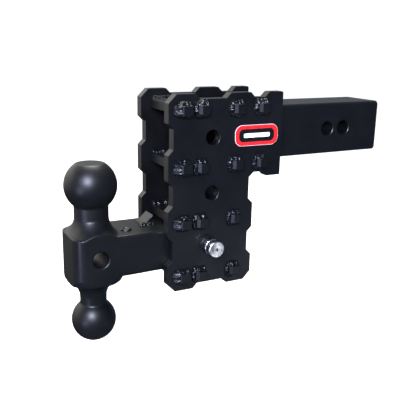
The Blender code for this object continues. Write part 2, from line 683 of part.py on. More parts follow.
def build_key_plug(finish, parent):
    """The key plug, which turns in the barrel.  Its keyway is a slot across the outer face."""
    start = LOCK_FAR - KEY_PLUG_DEPTH + GAP
    end = LOCK_FAR - KEY_PLUG_INSET
    chamfer = KEY_PLUG_CHAMFER
    profile = [(0.0, start), (KEY_PLUG_RADIUS, start), (KEY_PLUG_RADIUS, end - chamfer),
               (KEY_PLUG_RADIUS - chamfer, end), (0.0, end)]
    bm = bmesh.new()
    add_turned(bm, profile, (HOLE_X, 0.0, PIN_Z), 'Y', 28)
    plug = make_object("lock_key_plug", bm, finish, parent, smooth=35)
    bm = bmesh.new()
    slot = rectangle(HOLE_X - KEYWAY_HALF_WIDTH, PIN_Z - KEYWAY_HALF_HEIGHT,
                     HOLE_X + KEYWAY_HALF_WIDTH, PIN_Z + KEYWAY_HALF_HEIGHT)
    add_prism(bm, slot, end - KEYWAY_DEPTH, end + CUT_PAST, 'Y')
    boolean(plug, as_cutter(make_object("keyway_cutter", bm, None, parent)), 'DIFFERENCE')


def build_dust_cap(finish, parent):
    """A rubber cap pushed over the end of the lock barrel."""
    inner = LOCK_RADIUS + GAP
    outer = inner + CAP_WALL
    rim = outer + CAP_RIM
    start = LOCK_FAR - CAP_SKIRT
    ceiling = LOCK_FAR + GAP
    top = LOCK_FAR + CAP_TOP
    profile = [
        (0.0, ceiling), (inner, ceiling), (inner, start), (rim, start),
        (rim, start + CAP_RIM_HEIGHT), (outer, start + CAP_RIM_HEIGHT + CAP_RIM),
        (outer, top - CAP_SHOULDER), (outer - CAP_SHOULDER, top), (0.0, top),
    ]
    bm = bmesh.new()
    add_turned(bm, profile, (HOLE_X, 0.0, PIN_Z), 'Y', 36)
    make_object("lock_dust_cap", bm, finish, parent, smooth=35)


def build_label(finish):
    """A thin plain label on the front side plate."""
    bm = bmesh.new()
    corners = rounded_rectangle(LABEL_SIZE[0] / 2, LABEL_SIZE[1] / 2, LABEL_CORNER)
    outline = [(HOLE_X + LABEL_CENTRE_X + u, HOLE_ZS[0] - LABEL_DROP + v) for u, v in corners]
    face = -OUTER_FACE - GAP
    add_prism(bm, outline, face - LABEL_THICK, face, 'Y')
    make_object("plate_label", bm, finish)


# ---------------------------------------------------------------- assembly

def main():
    clear_scene()
    black = material("black_powder_coat", (0.010, 0.013, 0.021), 0.38, 0.0)
    weld = material("painted_weld", (0.018, 0.021, 0.028), 0.30, 0.0)
    forged = material("black_coated_forging", (0.012, 0.014, 0.018), 0.34, 0.0)
    steel = material("stainless_steel", (0.62, 0.61, 0.58), 0.22, 1.0)
    chrome = material("chromed_lock", (0.55, 0.55, 0.56), 0.15, 1.0)
    brass = material("brass_key_plug", (0.60, 0.46, 0.20), 0.30, 1.0)
    rubber = material("black_rubber", (0.015, 0.015, 0.015), 0.75, 0.0)
    red = material("label_print", (0.70, 0.02, 0.03), 0.35, 0.0)

    build_shank(black)
    build_side_plate("side_plate_front", -1, black)
    build_side_plate("side_plate_rear", 1, black)
    build_cross_plates(black)
    build_pocket_welds(weld)
    build_shank_welds(weld)
    build_label(red)

    pin_axis = (HOLE_X, 0.0, PIN_Z)
    mount_pivot = pivot("ball_mount_pivot", pin_axis)
    build_ball_mount(forged, mount_pivot)
    build_bar_top_plug(forged, mount_pivot)
    build_stop_lug(forged, mount_pivot)
    build_lug_weld(weld, mount_pivot)
    build_locking_pin(steel, pivot("locking_pin_pivot", pin_axis))
    build_lock({"lock": chrome, "rubber": rubber}, pivot("lock_pivot", pin_axis))
    build_key_plug(brass, pivot("key_plug_pivot", pin_axis))
    build_dust_cap(rubber, pivot("dust_cap_pivot", pin_axis))


main()
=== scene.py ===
"""Looks for the adjustable drop hitch with its reversible ball mount.

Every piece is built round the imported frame, in metres: +Z up, +X towards the vehicle, the label
side at -Y.  The file is laid out as an add-on and is run as a script.
"""
import json
import math

import bmesh
import bpy
from bpy.props import (FloatProperty, FloatVectorProperty, IntProperty, PointerProperty,
                       StringProperty)
from mathutils import Matrix, Vector, noise


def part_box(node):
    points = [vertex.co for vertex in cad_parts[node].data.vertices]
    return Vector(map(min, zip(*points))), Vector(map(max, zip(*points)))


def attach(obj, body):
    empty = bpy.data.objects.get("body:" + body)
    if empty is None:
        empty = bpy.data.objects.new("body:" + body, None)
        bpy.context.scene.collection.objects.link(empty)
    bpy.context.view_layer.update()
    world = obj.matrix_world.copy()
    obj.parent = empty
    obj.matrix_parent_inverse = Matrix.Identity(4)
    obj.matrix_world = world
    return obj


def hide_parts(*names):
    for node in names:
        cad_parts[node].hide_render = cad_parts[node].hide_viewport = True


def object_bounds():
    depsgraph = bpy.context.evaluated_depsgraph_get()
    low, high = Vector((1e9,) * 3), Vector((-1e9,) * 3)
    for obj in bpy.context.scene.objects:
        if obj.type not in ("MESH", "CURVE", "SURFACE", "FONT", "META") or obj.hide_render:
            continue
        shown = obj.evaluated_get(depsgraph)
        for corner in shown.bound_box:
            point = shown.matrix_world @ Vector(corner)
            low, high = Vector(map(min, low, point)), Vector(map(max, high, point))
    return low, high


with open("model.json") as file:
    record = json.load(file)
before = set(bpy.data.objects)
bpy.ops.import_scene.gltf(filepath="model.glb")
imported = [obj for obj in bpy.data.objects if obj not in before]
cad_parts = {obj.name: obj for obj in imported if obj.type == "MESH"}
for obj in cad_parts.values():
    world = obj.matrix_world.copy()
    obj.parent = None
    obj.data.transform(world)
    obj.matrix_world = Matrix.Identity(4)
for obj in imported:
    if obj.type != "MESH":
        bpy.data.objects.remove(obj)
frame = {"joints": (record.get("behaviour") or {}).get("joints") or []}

bl_info = {
    "name": "Drop Hitch Looks",
    "version": (1, 0, 0),
    "blender": (4, 5, 0),
    "location": "View3D > Sidebar > Drop Hitch",
    "description": "Builds the shown pieces of a welded drop hitch with a pinned ball mount",
    "category": "Object",
}

MM = 0.001
SIDES = ((-1, "front"), (1, "rear"))
CAD_LOW, CAD_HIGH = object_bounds()

# Places that the frame gives
KEY_JOINT = next(joint for joint in frame["joints"] if joint["name"] == "key_turn")
HOLE_X, PIN_Z = KEY_JOINT["pos_m"][0], KEY_JOINT["pos_m"][2]
ROWS = [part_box(f"cross_plate_row{row}") for row in (1, 2, 3, 4)]
ROW_ZS = [(low.z + high.z) / 2 for low, high in ROWS]
PITCH = ROW_ZS[0] - ROW_ZS[1]
HOLE_ZS = (PIN_Z + 2 * PITCH, PIN_Z + PITCH, PIN_Z)
CROSS_THICK = ROWS[0][1].z - ROWS[0][0].z
MOUTH_X = ROWS[0][0].x
TAB_END = ROWS[0][1].y
PLATE_LOW, PLATE_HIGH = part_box("side_plate_front")
INNER_FACE = -PLATE_HIGH.y
SHANK_LOW, SHANK_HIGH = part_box("shank")
MOUNT_LOW, MOUNT_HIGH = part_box("ball_mount")
PIN_LOW, PIN_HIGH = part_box("locking_pin")
LUG_LOW, LUG_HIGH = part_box("stop_lug")
PLUG_LOW, PLUG_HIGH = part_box("bar_top_plug")
LABEL_LOW, LABEL_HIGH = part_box("plate_label")
BARREL_LOW, BARREL_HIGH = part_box("lock_barrel")
SEAL_LOW, SEAL_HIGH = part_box("lock_seal_ring")
KEY_LOW, KEY_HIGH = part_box("lock_key_plug")
CAP_LOW, CAP_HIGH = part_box("lock_dust_cap")
PIN_AXIS = (HOLE_X, 0.0, PIN_Z)

# Shape constants that no one would change, in metres from the hole column
TAB_XS = (-35.5 * MM, -15.0 * MM, 29.5 * MM, 62.5 * MM)
ROW_TAB_COUNTS = (4, 4, 3, 3)
TAB_WIDTH = 13.5 * MM
TAB_EASE = 1.2 * MM
TAB_LEAD = 3.2 * MM                            # chamfer on the near corner of the later tabs
PLATE_HALF = HOLE_X - PLATE_LOW.x
ARM_REACH = PLATE_HIGH.x - HOLE_X
SCALLOP_DEPTH = 6.0 * MM
SCALLOP_HALF = 14.5 * MM
CORNER = 9.5 * MM
NOTCH_DEPTH = 5.8 * MM
NOTCH = (-17.0 * MM, 16.2 * MM)
ARM_NOTCH = (48.0 * MM, 73.0 * MM)
ARM_DROP = 49.5 * MM
ARM_CORNER = 1.5 * MM
PLATE_HOLE_RADIUS = 8.6 * MM
SLOT_GAP = 0.5 * MM
SHANK_STEP_X = -172.0 * MM
TONGUE_HALF = (PITCH - CROSS_THICK) / 2 - 0.3 * MM
SHANK_HOLE_XS = (-55.0 * MM, -80.4 * MM)
SHANK_HOLE_RADIUS = 8.75 * MM
POCKET_WELD_LEGS = (4.2 * MM, 4.2 * MM, 4.2 * MM, 1.5 * MM)
SHANK_WELD_LEG = 4.6 * MM
LUG_WELD_LEGS = (3.2 * MM, 2.6 * MM)
BEAD_OVERRUN = (2.2 * MM, 1.5 * MM)            # how far a bead runs past each end of its tab
END_BEAD_REACH = 3.0 * MM                      # how far the wide bead runs past its tab
BEAD_SMOOTH = 60                               # degrees up to which a bead shades smoothly
BALL_X = HOLE_X - 128.6 * MM
BOSS_CORNER = (12.2 * MM, 15.5 * MM)
BAR_TOP = 22.5 * MM
BAR_BOTTOM = -25.0 * MM
UPPER_BALL = (75.5 * MM, 29.369 * MM)          # height over the pin axis, radius
UPPER_FLAT_RADIUS = 15.5 * MM
UPPER_NECK = 19.2 * MM
UPPER_FLARE = (40.5 * MM, 25.0 * MM)           # height over the pin axis, radius
UPPER_FLARE_END = 221                          # where the flare's arc stops, in degrees
SKIRT_SPREAD = 8.0 * MM
STRETCH_START = 38.0 * MM                      # below this the flare widens across the bar,
STRETCH_RATE = 31.0                            # by this share for each metre further down
LOWER_BALL = (-82.5 * MM, 25.4 * MM)
LOWER_FLAT_RADIUS = 9.0 * MM
LOWER_NECK = 15.2 * MM
LOWER_FLARE = (-54.0 * MM, 21.0 * MM)
LOWER_FLARE_START = 100
CORE_MARGIN = 5 * MM                           # how far the turned form reaches into the boss
CROSS_HOLE = (-2.0 * MM, 9.0 * MM)             # height over the pin axis, radius
MOUNT_HOLE_RADIUS = 8.75 * MM
PIN_RADIUS = 7.9375 * MM
HEAD_RADIUS = 10.25 * MM
HEAD_LENGTH = 15.0 * MM
HEAD_GROOVE_RADIUS = 6.6 * MM
TAIL_RADIUS = 6.6 * MM
TAIL_NECK_RADIUS = 5.0 * MM
TAIL_LENGTH = 10.5 * MM
LOCK_BORE = 8.4 * MM                           # radius of the hole that takes the pin's tail
KEYWAY = ((0.9 * MM, -4.0 * MM, 4.0 * MM), (1.5 * MM, -1.2 * MM, 1.4 * MM))
CAP_RIBS = 20
LUG_SLOPE = math.radians(42.7)
LUG_THICK = 3.0 * MM

# The studio: each light's name, way from the aim, distance, width, height, watts and colour
LIGHT_AIM = Vector((-0.28, 0.0, -0.06))
SOFTBOXES = (
    ("key softbox", (-0.51, -0.72, 0.46), 1.5, 0.50, 0.50, 46.0, "#dde4ff"),
    ("left softbox", (-0.87, -0.43, -0.20), 1.5, 0.40, 0.45, 5.0, "#cfd4ff"),
    ("overhead softbox", (0.12, 0.30, 0.94), 1.4, 0.70, 0.50, 22.0, "#fffef2"),
    ("low card", (0.46, -0.80, -0.40), 1.0, 0.50, 0.12, 0.9, "#eef0ff"),
)
# How bright the sweep is at each height, 0 straight down and 1 straight up, as shares of its glow
SWEEP_STOPS = ((0.30, 0.02), (0.37, 0.08), (0.42, 0.30), (0.50, 0.34), (0.60, 0.60), (0.70, 1.0),
               (0.80, 0.50), (1.0, 0.15))
SWEEP_GLOW = (2.1, 2.1, 1.98)
ROOM_GLOW = (0.06, 0.085, 0.15, 1.0)
SOFT_LIGHT = (1.14, 1.14, 1.14, 1.0)
FLOOR_HALF = 6.0


# ---------------------------------------------------------------- what a user may change

class HitchColours(bpy.types.PropertyGroup):
    """Colours of the finishes, as sRGB hex values."""
    coat: StringProperty(name="Powder coat", description="Black powder coat", default="#08090c")
    coat_rub: StringProperty(name="Rubbed coat", description="Powder coat where edges are rubbed",
                             default="#2b2c2e")
    forging: StringProperty(name="Forging coat", description="Black coat on the ball mount",
                            default="#08090b")
    label_red: StringProperty(name="Label red", description="Ink of the label", default="#c40f19")
    label_black: StringProperty(name="Label panel", description="Dark panel of the label",
                                default="#0b0b0d")
    label_white: StringProperty(name="Label stripe", description="Pale stripe of the label",
                                default="#f1f2f4")
    stainless: StringProperty(name="Stainless", description="Turned stainless steel",
                              default="#c9c8c4")
    brass: StringProperty(name="Brass", description="Machined brass", default="#c9a45c")
    rubber: StringProperty(name="Rubber", description="Moulded black rubber", default="#16171a")


class PlateSizes(bpy.types.PropertyGroup):
    """Sizes of the welded frame's details."""
    thickness: FloatProperty(name="Plate thickness", description="Thickness of a side plate",
                             default=11.0 * MM, unit='LENGTH')
    edge_round: FloatProperty(name="Edge rounding", description="Rounding of a cut plate's edges",
                              default=0.7 * MM, unit='LENGTH')
    shank_round: FloatProperty(name="Shank rounding", description="Rounding of its long edges",
                               default=5.0 * MM, unit='LENGTH')
    hole_chamfer: FloatProperty(name="Hole chamfer", description="Chamfer of the shank's holes",
                                default=1.0 * MM, unit='LENGTH')


class WeldSizes(bpy.types.PropertyGroup):
    """Sizes of the weld beads."""
    leg: FloatProperty(name="Leg", description="Leg of a fillet round a tab",
                       default=4.8 * MM, unit='LENGTH')
    end_leg: FloatProperty(name="End leg", description="Leg of the wide bead at a row's first tab",
                           default=8.0 * MM, unit='LENGTH')
    side_leg: FloatProperty(name="Side leg", description="Leg of the bead beside a later tab",
                            default=3.4 * MM, unit='LENGTH')
    ripple: FloatProperty(name="Ripple pitch", description="Distance between a bead's ripples",
                          default=2.2 * MM, unit='LENGTH')
    lump: FloatProperty(name="Lumpiness", description="How much a bead swells and shrinks",
                        default=0.30, subtype='FACTOR', min=0.0, max=1.0)


class MountSizes(bpy.types.PropertyGroup):
    """Sizes of the ball mount's details."""
    voxel: FloatProperty(name="Forging grain", description="Cell that softens the forging's edges",
                         default=0.9 * MM, unit='LENGTH')
    passes: IntProperty(name="Softening", description="Smoothing passes on the forging",
                        default=5)
    edge: FloatProperty(name="Bar edge", description="Rounding of the bar's long edges",
                        default=5.0 * MM, unit='LENGTH')


class StageSettings(bpy.types.PropertyGroup):
    """Camera and floor."""
    camera_place: FloatVectorProperty(name="Camera place", description="Where the camera stands",
                                      default=(-0.5870, -0.6419, 0.1087), unit='LENGTH', size=3)
    yaw: FloatProperty(name="Yaw", description="Camera's turn from +Y towards +X",
                       default=math.radians(28.257), unit='ROTATION')
    pitch: FloatProperty(name="Pitch", description="How far the camera looks down",
                         default=math.radians(14.737), unit='ROTATION')
    roll: FloatProperty(name="Roll", description="Camera's roll",
                        default=math.radians(1.099), unit='ROTATION')
    lens: FloatProperty(name="Lens", description="Focal length on a 36 mm sensor",
                        default=56.09, unit='CAMERA')
    floor_drop: FloatProperty(name="Floor drop", description="Lower ball to the floor",
                              default=90.0 * MM, unit='LENGTH')
    floor: StringProperty(name="Floor", description="Pale floor", default="#fbfbfa")


# ---------------------------------------------------------------- mesh helpers

def new_object(name, bm, smooth=None):
    """Turn a bmesh into an object, its normals facing out."""
    bmesh.ops.recalc_face_normals(bm, faces=bm.faces)
    mesh = bpy.data.meshes.new(name)
    bm.to_mesh(mesh)
    bm.free()
    obj = bpy.data.objects.new(name, mesh)
    bpy.context.scene.collection.objects.link(obj)
    if smooth:
        mesh.shade_smooth()
        mesh.set_sharp_from_angle(angle=math.radians(smooth))
    return obj


def settle(obj):
    """Apply an object's modifiers to its mesh."""
    graph = bpy.context.evaluated_depsgraph_get()
    settled = bpy.data.meshes.new_from_object(obj.evaluated_get(graph))
    obj.modifiers.clear()
    rough = obj.data
    obj.data = settled
    bpy.data.meshes.remove(rough)


def carve(obj, tool_bm, operation='DIFFERENCE'):
    """Cut, join or intersect an object with a closed tool, then drop the tool."""
    tool = new_object("tool", tool_bm)
    modifier = obj.modifiers.new("carve", 'BOOLEAN')
    modifier.operation = operation
    modifier.solver = 'EXACT'
    modifier.object = tool
    settle(obj)
    bpy.data.objects.remove(tool, do_unlink=True)


def ease_edges(obj, width, segments=2, angle=30.0):
    """Round an object's hard edges and keep its flat faces flat to the light."""
    obj.data.shade_smooth()
    bevel = obj.modifiers.new("edge rounding", 'BEVEL')
    bevel.width = width
    bevel.segments = segments
    bevel.limit_method = 'ANGLE'
    bevel.angle_limit = math.radians(angle)
    bevel.miter_outer = 'MITER_ARC'
    weighted = obj.modifiers.new("flat faces", 'WEIGHTED_NORMAL')
    weighted.keep_sharp = True
    weighted.weight = 80


def show(obj, finish, body, nodes=()):
    """Give a piece its finish, let it ride on a CAD body, and stand it in for CAD nodes."""
    if not obj.data.polygons:
        raise RuntimeError(f"{obj.name} came out empty")
    obj.data.materials.clear()
    obj.data.materials.append(finish)
    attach(obj, body)
    if nodes:
        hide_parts(*nodes)
    return obj


def add_prism(bm, outline, start, end, axis):
    """Add a closed prism: a 2-D outline swept along an axis from start to end."""
    place = {
        'X': lambda u, v, w: (w, u, v),
        'Y': lambda u, v, w: (u, w, v),
        'Z': lambda u, v, w: (u, v, w),
    }[axis]
    lower = [bm.verts.new(place(u, v, start)) for u, v in outline]
    upper = [bm.verts.new(place(u, v, end)) for u, v in outline]
    bm.faces.new(lower)
    bm.faces.new(reversed(upper))
    for i in range(len(outline)):
        j = (i + 1) % len(outline)
        bm.faces.new((lower[i], upper[i], upper[j], lower[j]))


def prism(*sweep):
    """A closed prism on its own, from add_prism's outline, start, end and axis."""
    bm = bmesh.new()
    add_prism(bm, *sweep)
    return bm


def rectangle(low_u, low_v, high_u, high_v):
    """The four corners of a rectangle."""
    return [(low_u, low_v), (high_u, low_v), (high_u, high_v), (low_u, high_v)]


def rounded_rectangle(centre, half_u, half_v, radius, segments=8):
    """A rectangle with round corners."""
    points = []
    for quarter, (su, sv) in enumerate(((1, 1), (-1, 1), (-1, -1), (1, -1))):
        for step in range(segments + 1):
            angle = math.pi / 2 * (quarter + step / segments)
            points.append((centre[0] + su * (half_u - radius) + radius * math.cos(angle),
                           centre[1] + sv * (half_v - radius) + radius * math.sin(angle)))
    return points


def arc(centre, radius, start, end, segments):
    """Points along an arc, its angles in degrees."""
    turns = [math.radians(start + (end - start) * i / segments) for i in range(segments + 1)]
    return [(centre[0] + radius * math.cos(a), centre[1] + radius * math.sin(a)) for a in turns]


def add_turned(bm, profile, centre, axis, segments=96):
    """Add a solid of revolution from (radius, height) points.  A profile that starts and ends at
    radius 0 closes on the axis, any other profile is a closed ring."""
    def ring_at(radius, height):
        """The vertices at one point of the profile: a ring, or a single one on the axis."""
        count = 1 if radius == 0 else segments
        ring = []
        for i in range(count):
            turn = 2 * math.pi * i / segments
            u, v = radius * math.cos(turn), radius * math.sin(turn)
            offset = (u, v, height) if axis == 'Z' else (u, height, v)
            ring.append(bm.verts.new(Vector(centre) + Vector(offset)))
        return ring

    rings = [ring_at(radius, height) for radius, height in profile]
    pairs = list(zip(rings, rings[1:]))
    if profile[0][0] != 0:
        pairs.append((rings[-1], rings[0]))
    for first, second in pairs:
        for i in range(segments):
            j = (i + 1) % segments
            if len(first) == 1:
                bm.faces.new((first[0], second[j], second[i]))
            elif len(second) == 1:
                bm.faces.new((first[i], first[j], second[0]))
            else:
                bm.faces.new((first[i], first[j], second[j], second[i]))


def turned(*lathe):
    """A solid of revolution on its own, from add_turned's profile, centre, axis and segments."""
    bm = bmesh.new()
    add_turned(bm, *lathe)
    return bm


def add_hole_tool(bm, x, z, radius, chamfer, near, far):
    """Add a drill along Y, with a countersink where it enters and leaves."""
    past = 2 * MM
    profile = [(0.0, near - past), (radius + chamfer + past, near - past),
               (radius, near + chamfer), (radius, far - chamfer),
               (radius + chamfer + past, far + past), (0.0, far + past)]
    add_turned(bm, profile, (x, 0.0, z), 'Y', 64)


def lay_bead(bm, start, end, out, along, leg, seed, flatness=0.10, rough=1.0):
    """Lay a weld bead from start to end in the corner of two faces.  out leads away from the face
    that it lies on, along leads along that face.  A rough bead ripples, swells and shrinks as it
    goes, and flatness takes the middle of its face back."""
    sizes = bpy.context.scene.hitch_welds
    start, end, out, along = Vector(start), Vector(end), Vector(out), Vector(along)
    length = (end - start).length
    step, swell_length, pit_length, sunk = 0.5 * MM, 3.2 * MM, 1.6 * MM, 0.6 * MM
    steps = max(10, round(length / step))
    around = 9
    rings = []
    for i in range(steps + 1):
        travel = length * i / steps
        from_end = min(travel, length - travel)
        taper = math.sqrt(max(0.02, 1 - (1 - min(1.0, from_end / (0.55 * leg))) ** 2))
        crest = 0.07 * rough * abs(math.sin(math.pi * travel / sizes.ripple))
        swell = sizes.lump * rough * noise.noise(Vector((seed * 7.3, travel / swell_length, 0.5)))
        size = leg * taper * (0.95 + crest + swell)
        middle = start.lerp(end, i / steps)
        ring = [bm.verts.new(middle - out * sunk - along * sunk)]
        for k in range(around + 1):
            turn = math.pi / 2 * k / around
            point = Vector((seed * 3.1, travel / pit_length, k * 0.45))
            bulge = size * (1 - flatness * math.sin(2 * turn) + 0.16 * rough * noise.noise(point))
            a = bulge * math.cos(turn) if k < around else -sunk
            b = bulge * math.sin(turn) if k > 0 else -sunk
            ring.append(bm.verts.new(middle + out * a + along * b))
        rings.append(ring)
    bm.faces.new(rings[0])
    bm.faces.new(reversed(rings[-1]))
    for first, second in zip(rings, rings[1:]):
        for k in range(len(first)):
            m = (k + 1) % len(first)
            bm.faces.new((first[k], second[k], second[m], first[m]))


# ---------------------------------------------------------------- finishes

def linear(hex_colour):
    """An sRGB hex colour as linear RGBA."""
    values = [int(hex_colour[i:i + 2], 16) / 255 for i in (1, 3, 5)]
    lit = [v / 12.92 if v <= 0.04045 else ((v + 0.055) / 1.055) ** 2.4 for v in values]
    return (*lit, 1.0)


def per_metre(size_mm):
    """The texture scale that makes a pattern of a size in millimetres."""
    return 1000.0 / size_mm


def add_node(tree, kind, inputs=(), **settings):
    """Add one node with its settings.  inputs pairs a socket with a value or another's output."""
    made = tree.nodes.new("ShaderNode" + kind)
    for name, value in settings.items():
        setattr(made, name, value)
    for socket, value in inputs:
        if isinstance(value, bpy.types.NodeSocket):
            tree.links.new(value, made.inputs[socket])
        else:
            made.inputs[socket].default_value = value
    return made


def new_finish(name, metallic, specular_ior=1.5):
    """A material with its Principled shader's plain values set, and the piece's own place."""
    if name in bpy.data.materials:
        return bpy.data.materials[name], None, None, None
    made = bpy.data.materials.new(name)
    made.use_nodes = True
    tree = made.node_tree
    shader = tree.nodes["Principled BSDF"]
    shader.inputs["Metallic"].default_value = metallic
    shader.inputs["IOR"].default_value = specular_ior
    place = add_node(tree, "TexCoord").outputs["Object"]
    return made, tree, shader, place


def tinted(base, factor):
    """A linear colour made darker or lighter."""
    return (*[value * factor for value in base[:3]], 1.0)


def grains(tree, place, size_mm, detail, roughness=0.5):
    """Noise whose grains are so many millimetres across."""
    return add_node(tree, "TexNoise", [("Vector", place), ("Scale", per_metre(size_mm)),
                                       ("Detail", detail), ("Roughness", roughness)]).outputs["Fac"]


def blend(tree, share, low, high, dark, pale):
    """A colour that runs from dark to pale as share goes from low to high."""
    ramp = add_node(tree, "ValToRGB", [("Fac", share)])
    for element, place, colour in zip(ramp.color_ramp.elements, (low, high), (dark, pale)):
        element.position = place
        element.color = colour
    return ramp.outputs["Color"]


def spread(tree, share, low, high):
    """A noise's middle range, stretched to run from low to high."""
    return add_node(tree, "MapRange", [("Value", share), ("From Min", 0.3), ("From Max", 0.7),
                                       ("To Min", low), ("To Max", high)]).outputs["Result"]


def combine(tree, operation, *values):
    """One sum on numbers or sockets."""
    return add_node(tree, "Math", list(enumerate(values)), operation=operation).outputs["Value"]


def dress(tree, shader, colour, roughness, height, strength, depth):
    """Wire a finish's colour, roughness and relief into its shader."""
    relief = add_node(tree, "Bump", [("Height", height), ("Strength", strength),
                                     ("Distance", depth)])
    for socket, value in (("Base Color", colour), ("Roughness", roughness),
                          ("Normal", relief.outputs["Normal"])):
        tree.links.new(value, shader.inputs[socket])


def coated_steel(name, colour, rub, rough, peel_mm, peel_depth, striation, rub_amount):
    """Black powder coat baked on steel.  It gives the eye a deep blue-black with a soft satin
    sheen, a faint orange peel, and slightly paler, duller edges where it has been handled."""
    made, tree, shader, place = new_finish(name, 0.0)
    if tree is None:
        return made
    # Cut plate has fine drag lines through its thickness, which the coat only half fills.
    stretched = add_node(tree, "Mapping", [("Vector", place), ("Scale", (1.0, 0.06, 1.0))])
    drag = grains(tree, stretched.outputs["Vector"], 1.6, 3.0)
    # Real orange peel is about 0.8 mm across and is drawn coarser so that it shows.
    peel = grains(tree, place, peel_mm, 2.5, 0.45)
    cloud = grains(tree, place, 38.0, 4.0, 0.55)
    # Edge rub: where the rounded normal leaves the true one.
    rounded = add_node(tree, "Bevel", [("Radius", 1.1 * MM)], samples=4)
    geometry = add_node(tree, "NewGeometry")
    match = add_node(tree, "VectorMath", [(0, rounded.outputs["Normal"]),
                                          (1, geometry.outputs["Normal"])],
                     operation='DOT_PRODUCT')
    edge = add_node(tree, "MapRange", [("Value", match.outputs["Value"]), ("From Min", 0.99),
                                       ("From Max", 0.80), ("To Min", 0.0), ("To Max", 1.0)])
    patchy = grains(tree, place, 4.0, 4.0, 0.7)
    worn = combine(tree, 'MULTIPLY', edge.outputs["Result"], patchy)
    share = add_node(tree, "Math", [(0, worn), (1, rub_amount)], operation='MULTIPLY',
                     use_clamp=True).outputs["Value"]
    base = linear(colour)
    shade = blend(tree, cloud, 0.30, 0.72, tinted(base, 0.72), tinted(base, 1.40))
    mixed = add_node(tree, "MixRGB", [("Fac", share), ("Color1", shade), ("Color2", linear(rub))])
    sheen = spread(tree, cloud, rough - 0.035, rough + 0.045)
    dress(tree, shader, mixed.outputs["Color"], combine(tree, 'MULTIPLY_ADD', share, 0.16, sheen),
          combine(tree, 'MULTIPLY_ADD', drag, striation, peel), 0.55, peel_depth)
    return made


def coated_weld(name, colour):
    """Powder coat over weld metal.  The coat pools in the ripples, so it gives the eye a glossier,
    speckled surface."""
    made, tree, shader, place = new_finish(name, 0.0)
    if tree is None:
        return made
    spatter = add_node(tree, "TexVoronoi", [("Vector", place), ("Scale", per_metre(1.5))],
                       feature='SMOOTH_F1')
    grit = grains(tree, place, 0.9, 3.0, 0.6)
    base = linear(colour)
    dress(tree, shader, blend(tree, grit, 0.35, 0.70, base, tinted(base, 2.0)),
          spread(tree, grit, 0.12, 0.28),
          combine(tree, 'MULTIPLY_ADD', spatter.outputs["Distance"], 0.7, grit), 0.8, 0.35 * MM)
    return made


def turned_metal(name, colour, rough, groove_mm, groove_depth):
    """Metal finished on a lathe, about the pin's axis.  Fine rings spread the light across them,
    which gives the eye a bright cross on an end face and long streaks down the sides."""
    made, tree, shader, place = new_finish(name, 1.0)
    if tree is None:
        return made
    local = add_node(tree, "VectorMath", [(0, place), (1, PIN_AXIS)], operation='SUBTRACT')
    flat = add_node(tree, "VectorMath", [(0, local.outputs["Vector"]), (1, (1.0, 0.0, 1.0))],
                    operation='MULTIPLY')
    radius = add_node(tree, "VectorMath", [(0, flat.outputs["Vector"])], operation='LENGTH')
    along = add_node(tree, "VectorMath", [(0, local.outputs["Vector"]), (1, (0.0, 1.0, 0.0))],
                     operation='DOT_PRODUCT')
    # Real tool marks are about 0.1 mm apart and are drawn wider so that they show.
    path = combine(tree, 'ADD', radius.outputs["Value"], along.outputs["Value"])
    rings = add_node(tree, "TexNoise", [("W", path), ("Scale", per_metre(groove_mm)),
                                        ("Detail", 4.0), ("Roughness", 0.75)],
                     noise_dimensions='1D').outputs["Fac"]
    base = linear(colour)
    dress(tree, shader, blend(tree, rings, 0.30, 0.65, tinted(base, 0.62), base),
          spread(tree, grains(tree, place, 6.0, 3.0), rough - 0.05, rough + 0.08), rings, 0.7,
          groove_depth)
    # The tool marks stretch every highlight across them, in a fan about the axis.
    fan = add_node(tree, "Tangent", direction_type='RADIAL', axis='Y')
    tree.links.new(fan.outputs["Tangent"], shader.inputs["Tangent"])
    shader.inputs["Anisotropic"].default_value = 0.75
    return made


def moulded_rubber(name, colour):
    """Moulded rubber.  It gives the eye a dull, even black with a faint grey bloom."""
    made, tree, shader, place = new_finish(name, 0.0, 1.52)
    if tree is None:
        return made
    bloom = grains(tree, place, 7.0, 5.0, 0.6)
    base = linear(colour)
    dress(tree, shader, blend(tree, bloom, 0.35, 0.75, base, tinted(base, 2.4)),
          spread(tree, bloom, 0.62, 0.80), grains(tree, place, 0.6, 2.0), 0.4, 0.12 * MM)
    return made


def printed_vinyl(name, colour):
    """Printed vinyl under a clear film.  It gives the eye a flat, strong colour with a gloss
    that dust breaks up."""
    made, tree, shader, place = new_finish(name, 0.0, 1.53)
    if tree is None:
        return made
    dust = grains(tree, place, 5.0, 6.0, 0.65)
    base = linear(colour)
    dress(tree, shader, blend(tree, dust, 0.25, 0.75, tinted(base, 0.90), base),
          spread(tree, dust, 0.24, 0.38), dust, 0.15, 0.1 * MM)
    return made


def plate_coat():
    """The coat on plate and bar, with drag lines and rubbed edges."""
    colours = bpy.context.scene.hitch_colours
    return coated_steel("satin_powder_coat_on_cut_plate", colours.coat, colours.coat_rub,
                        rough=0.36, peel_mm=2.6, peel_depth=0.10 * MM, striation=0.6,
                        rub_amount=0.30)


def forging_coat():
    """The coat on the ball mount, smoother and duller than on plate."""
    colours = bpy.context.scene.hitch_colours
    return coated_steel("satin_powder_coat_on_forging", colours.forging, colours.coat_rub,
                        rough=0.41, peel_mm=3.4, peel_depth=0.09 * MM, striation=0.0,
                        rub_amount=0.0)


def weld_coat():
    """The coat over every bead."""
    return coated_weld("powder_coat_over_weld_metal", bpy.context.scene.hitch_colours.coat)


def rubber():
    """The rubber of the seal ring and the dust cap."""
    return moulded_rubber("moulded_black_rubber", bpy.context.scene.hitch_colours.rubber)


# ---------------------------------------------------------------- outlines

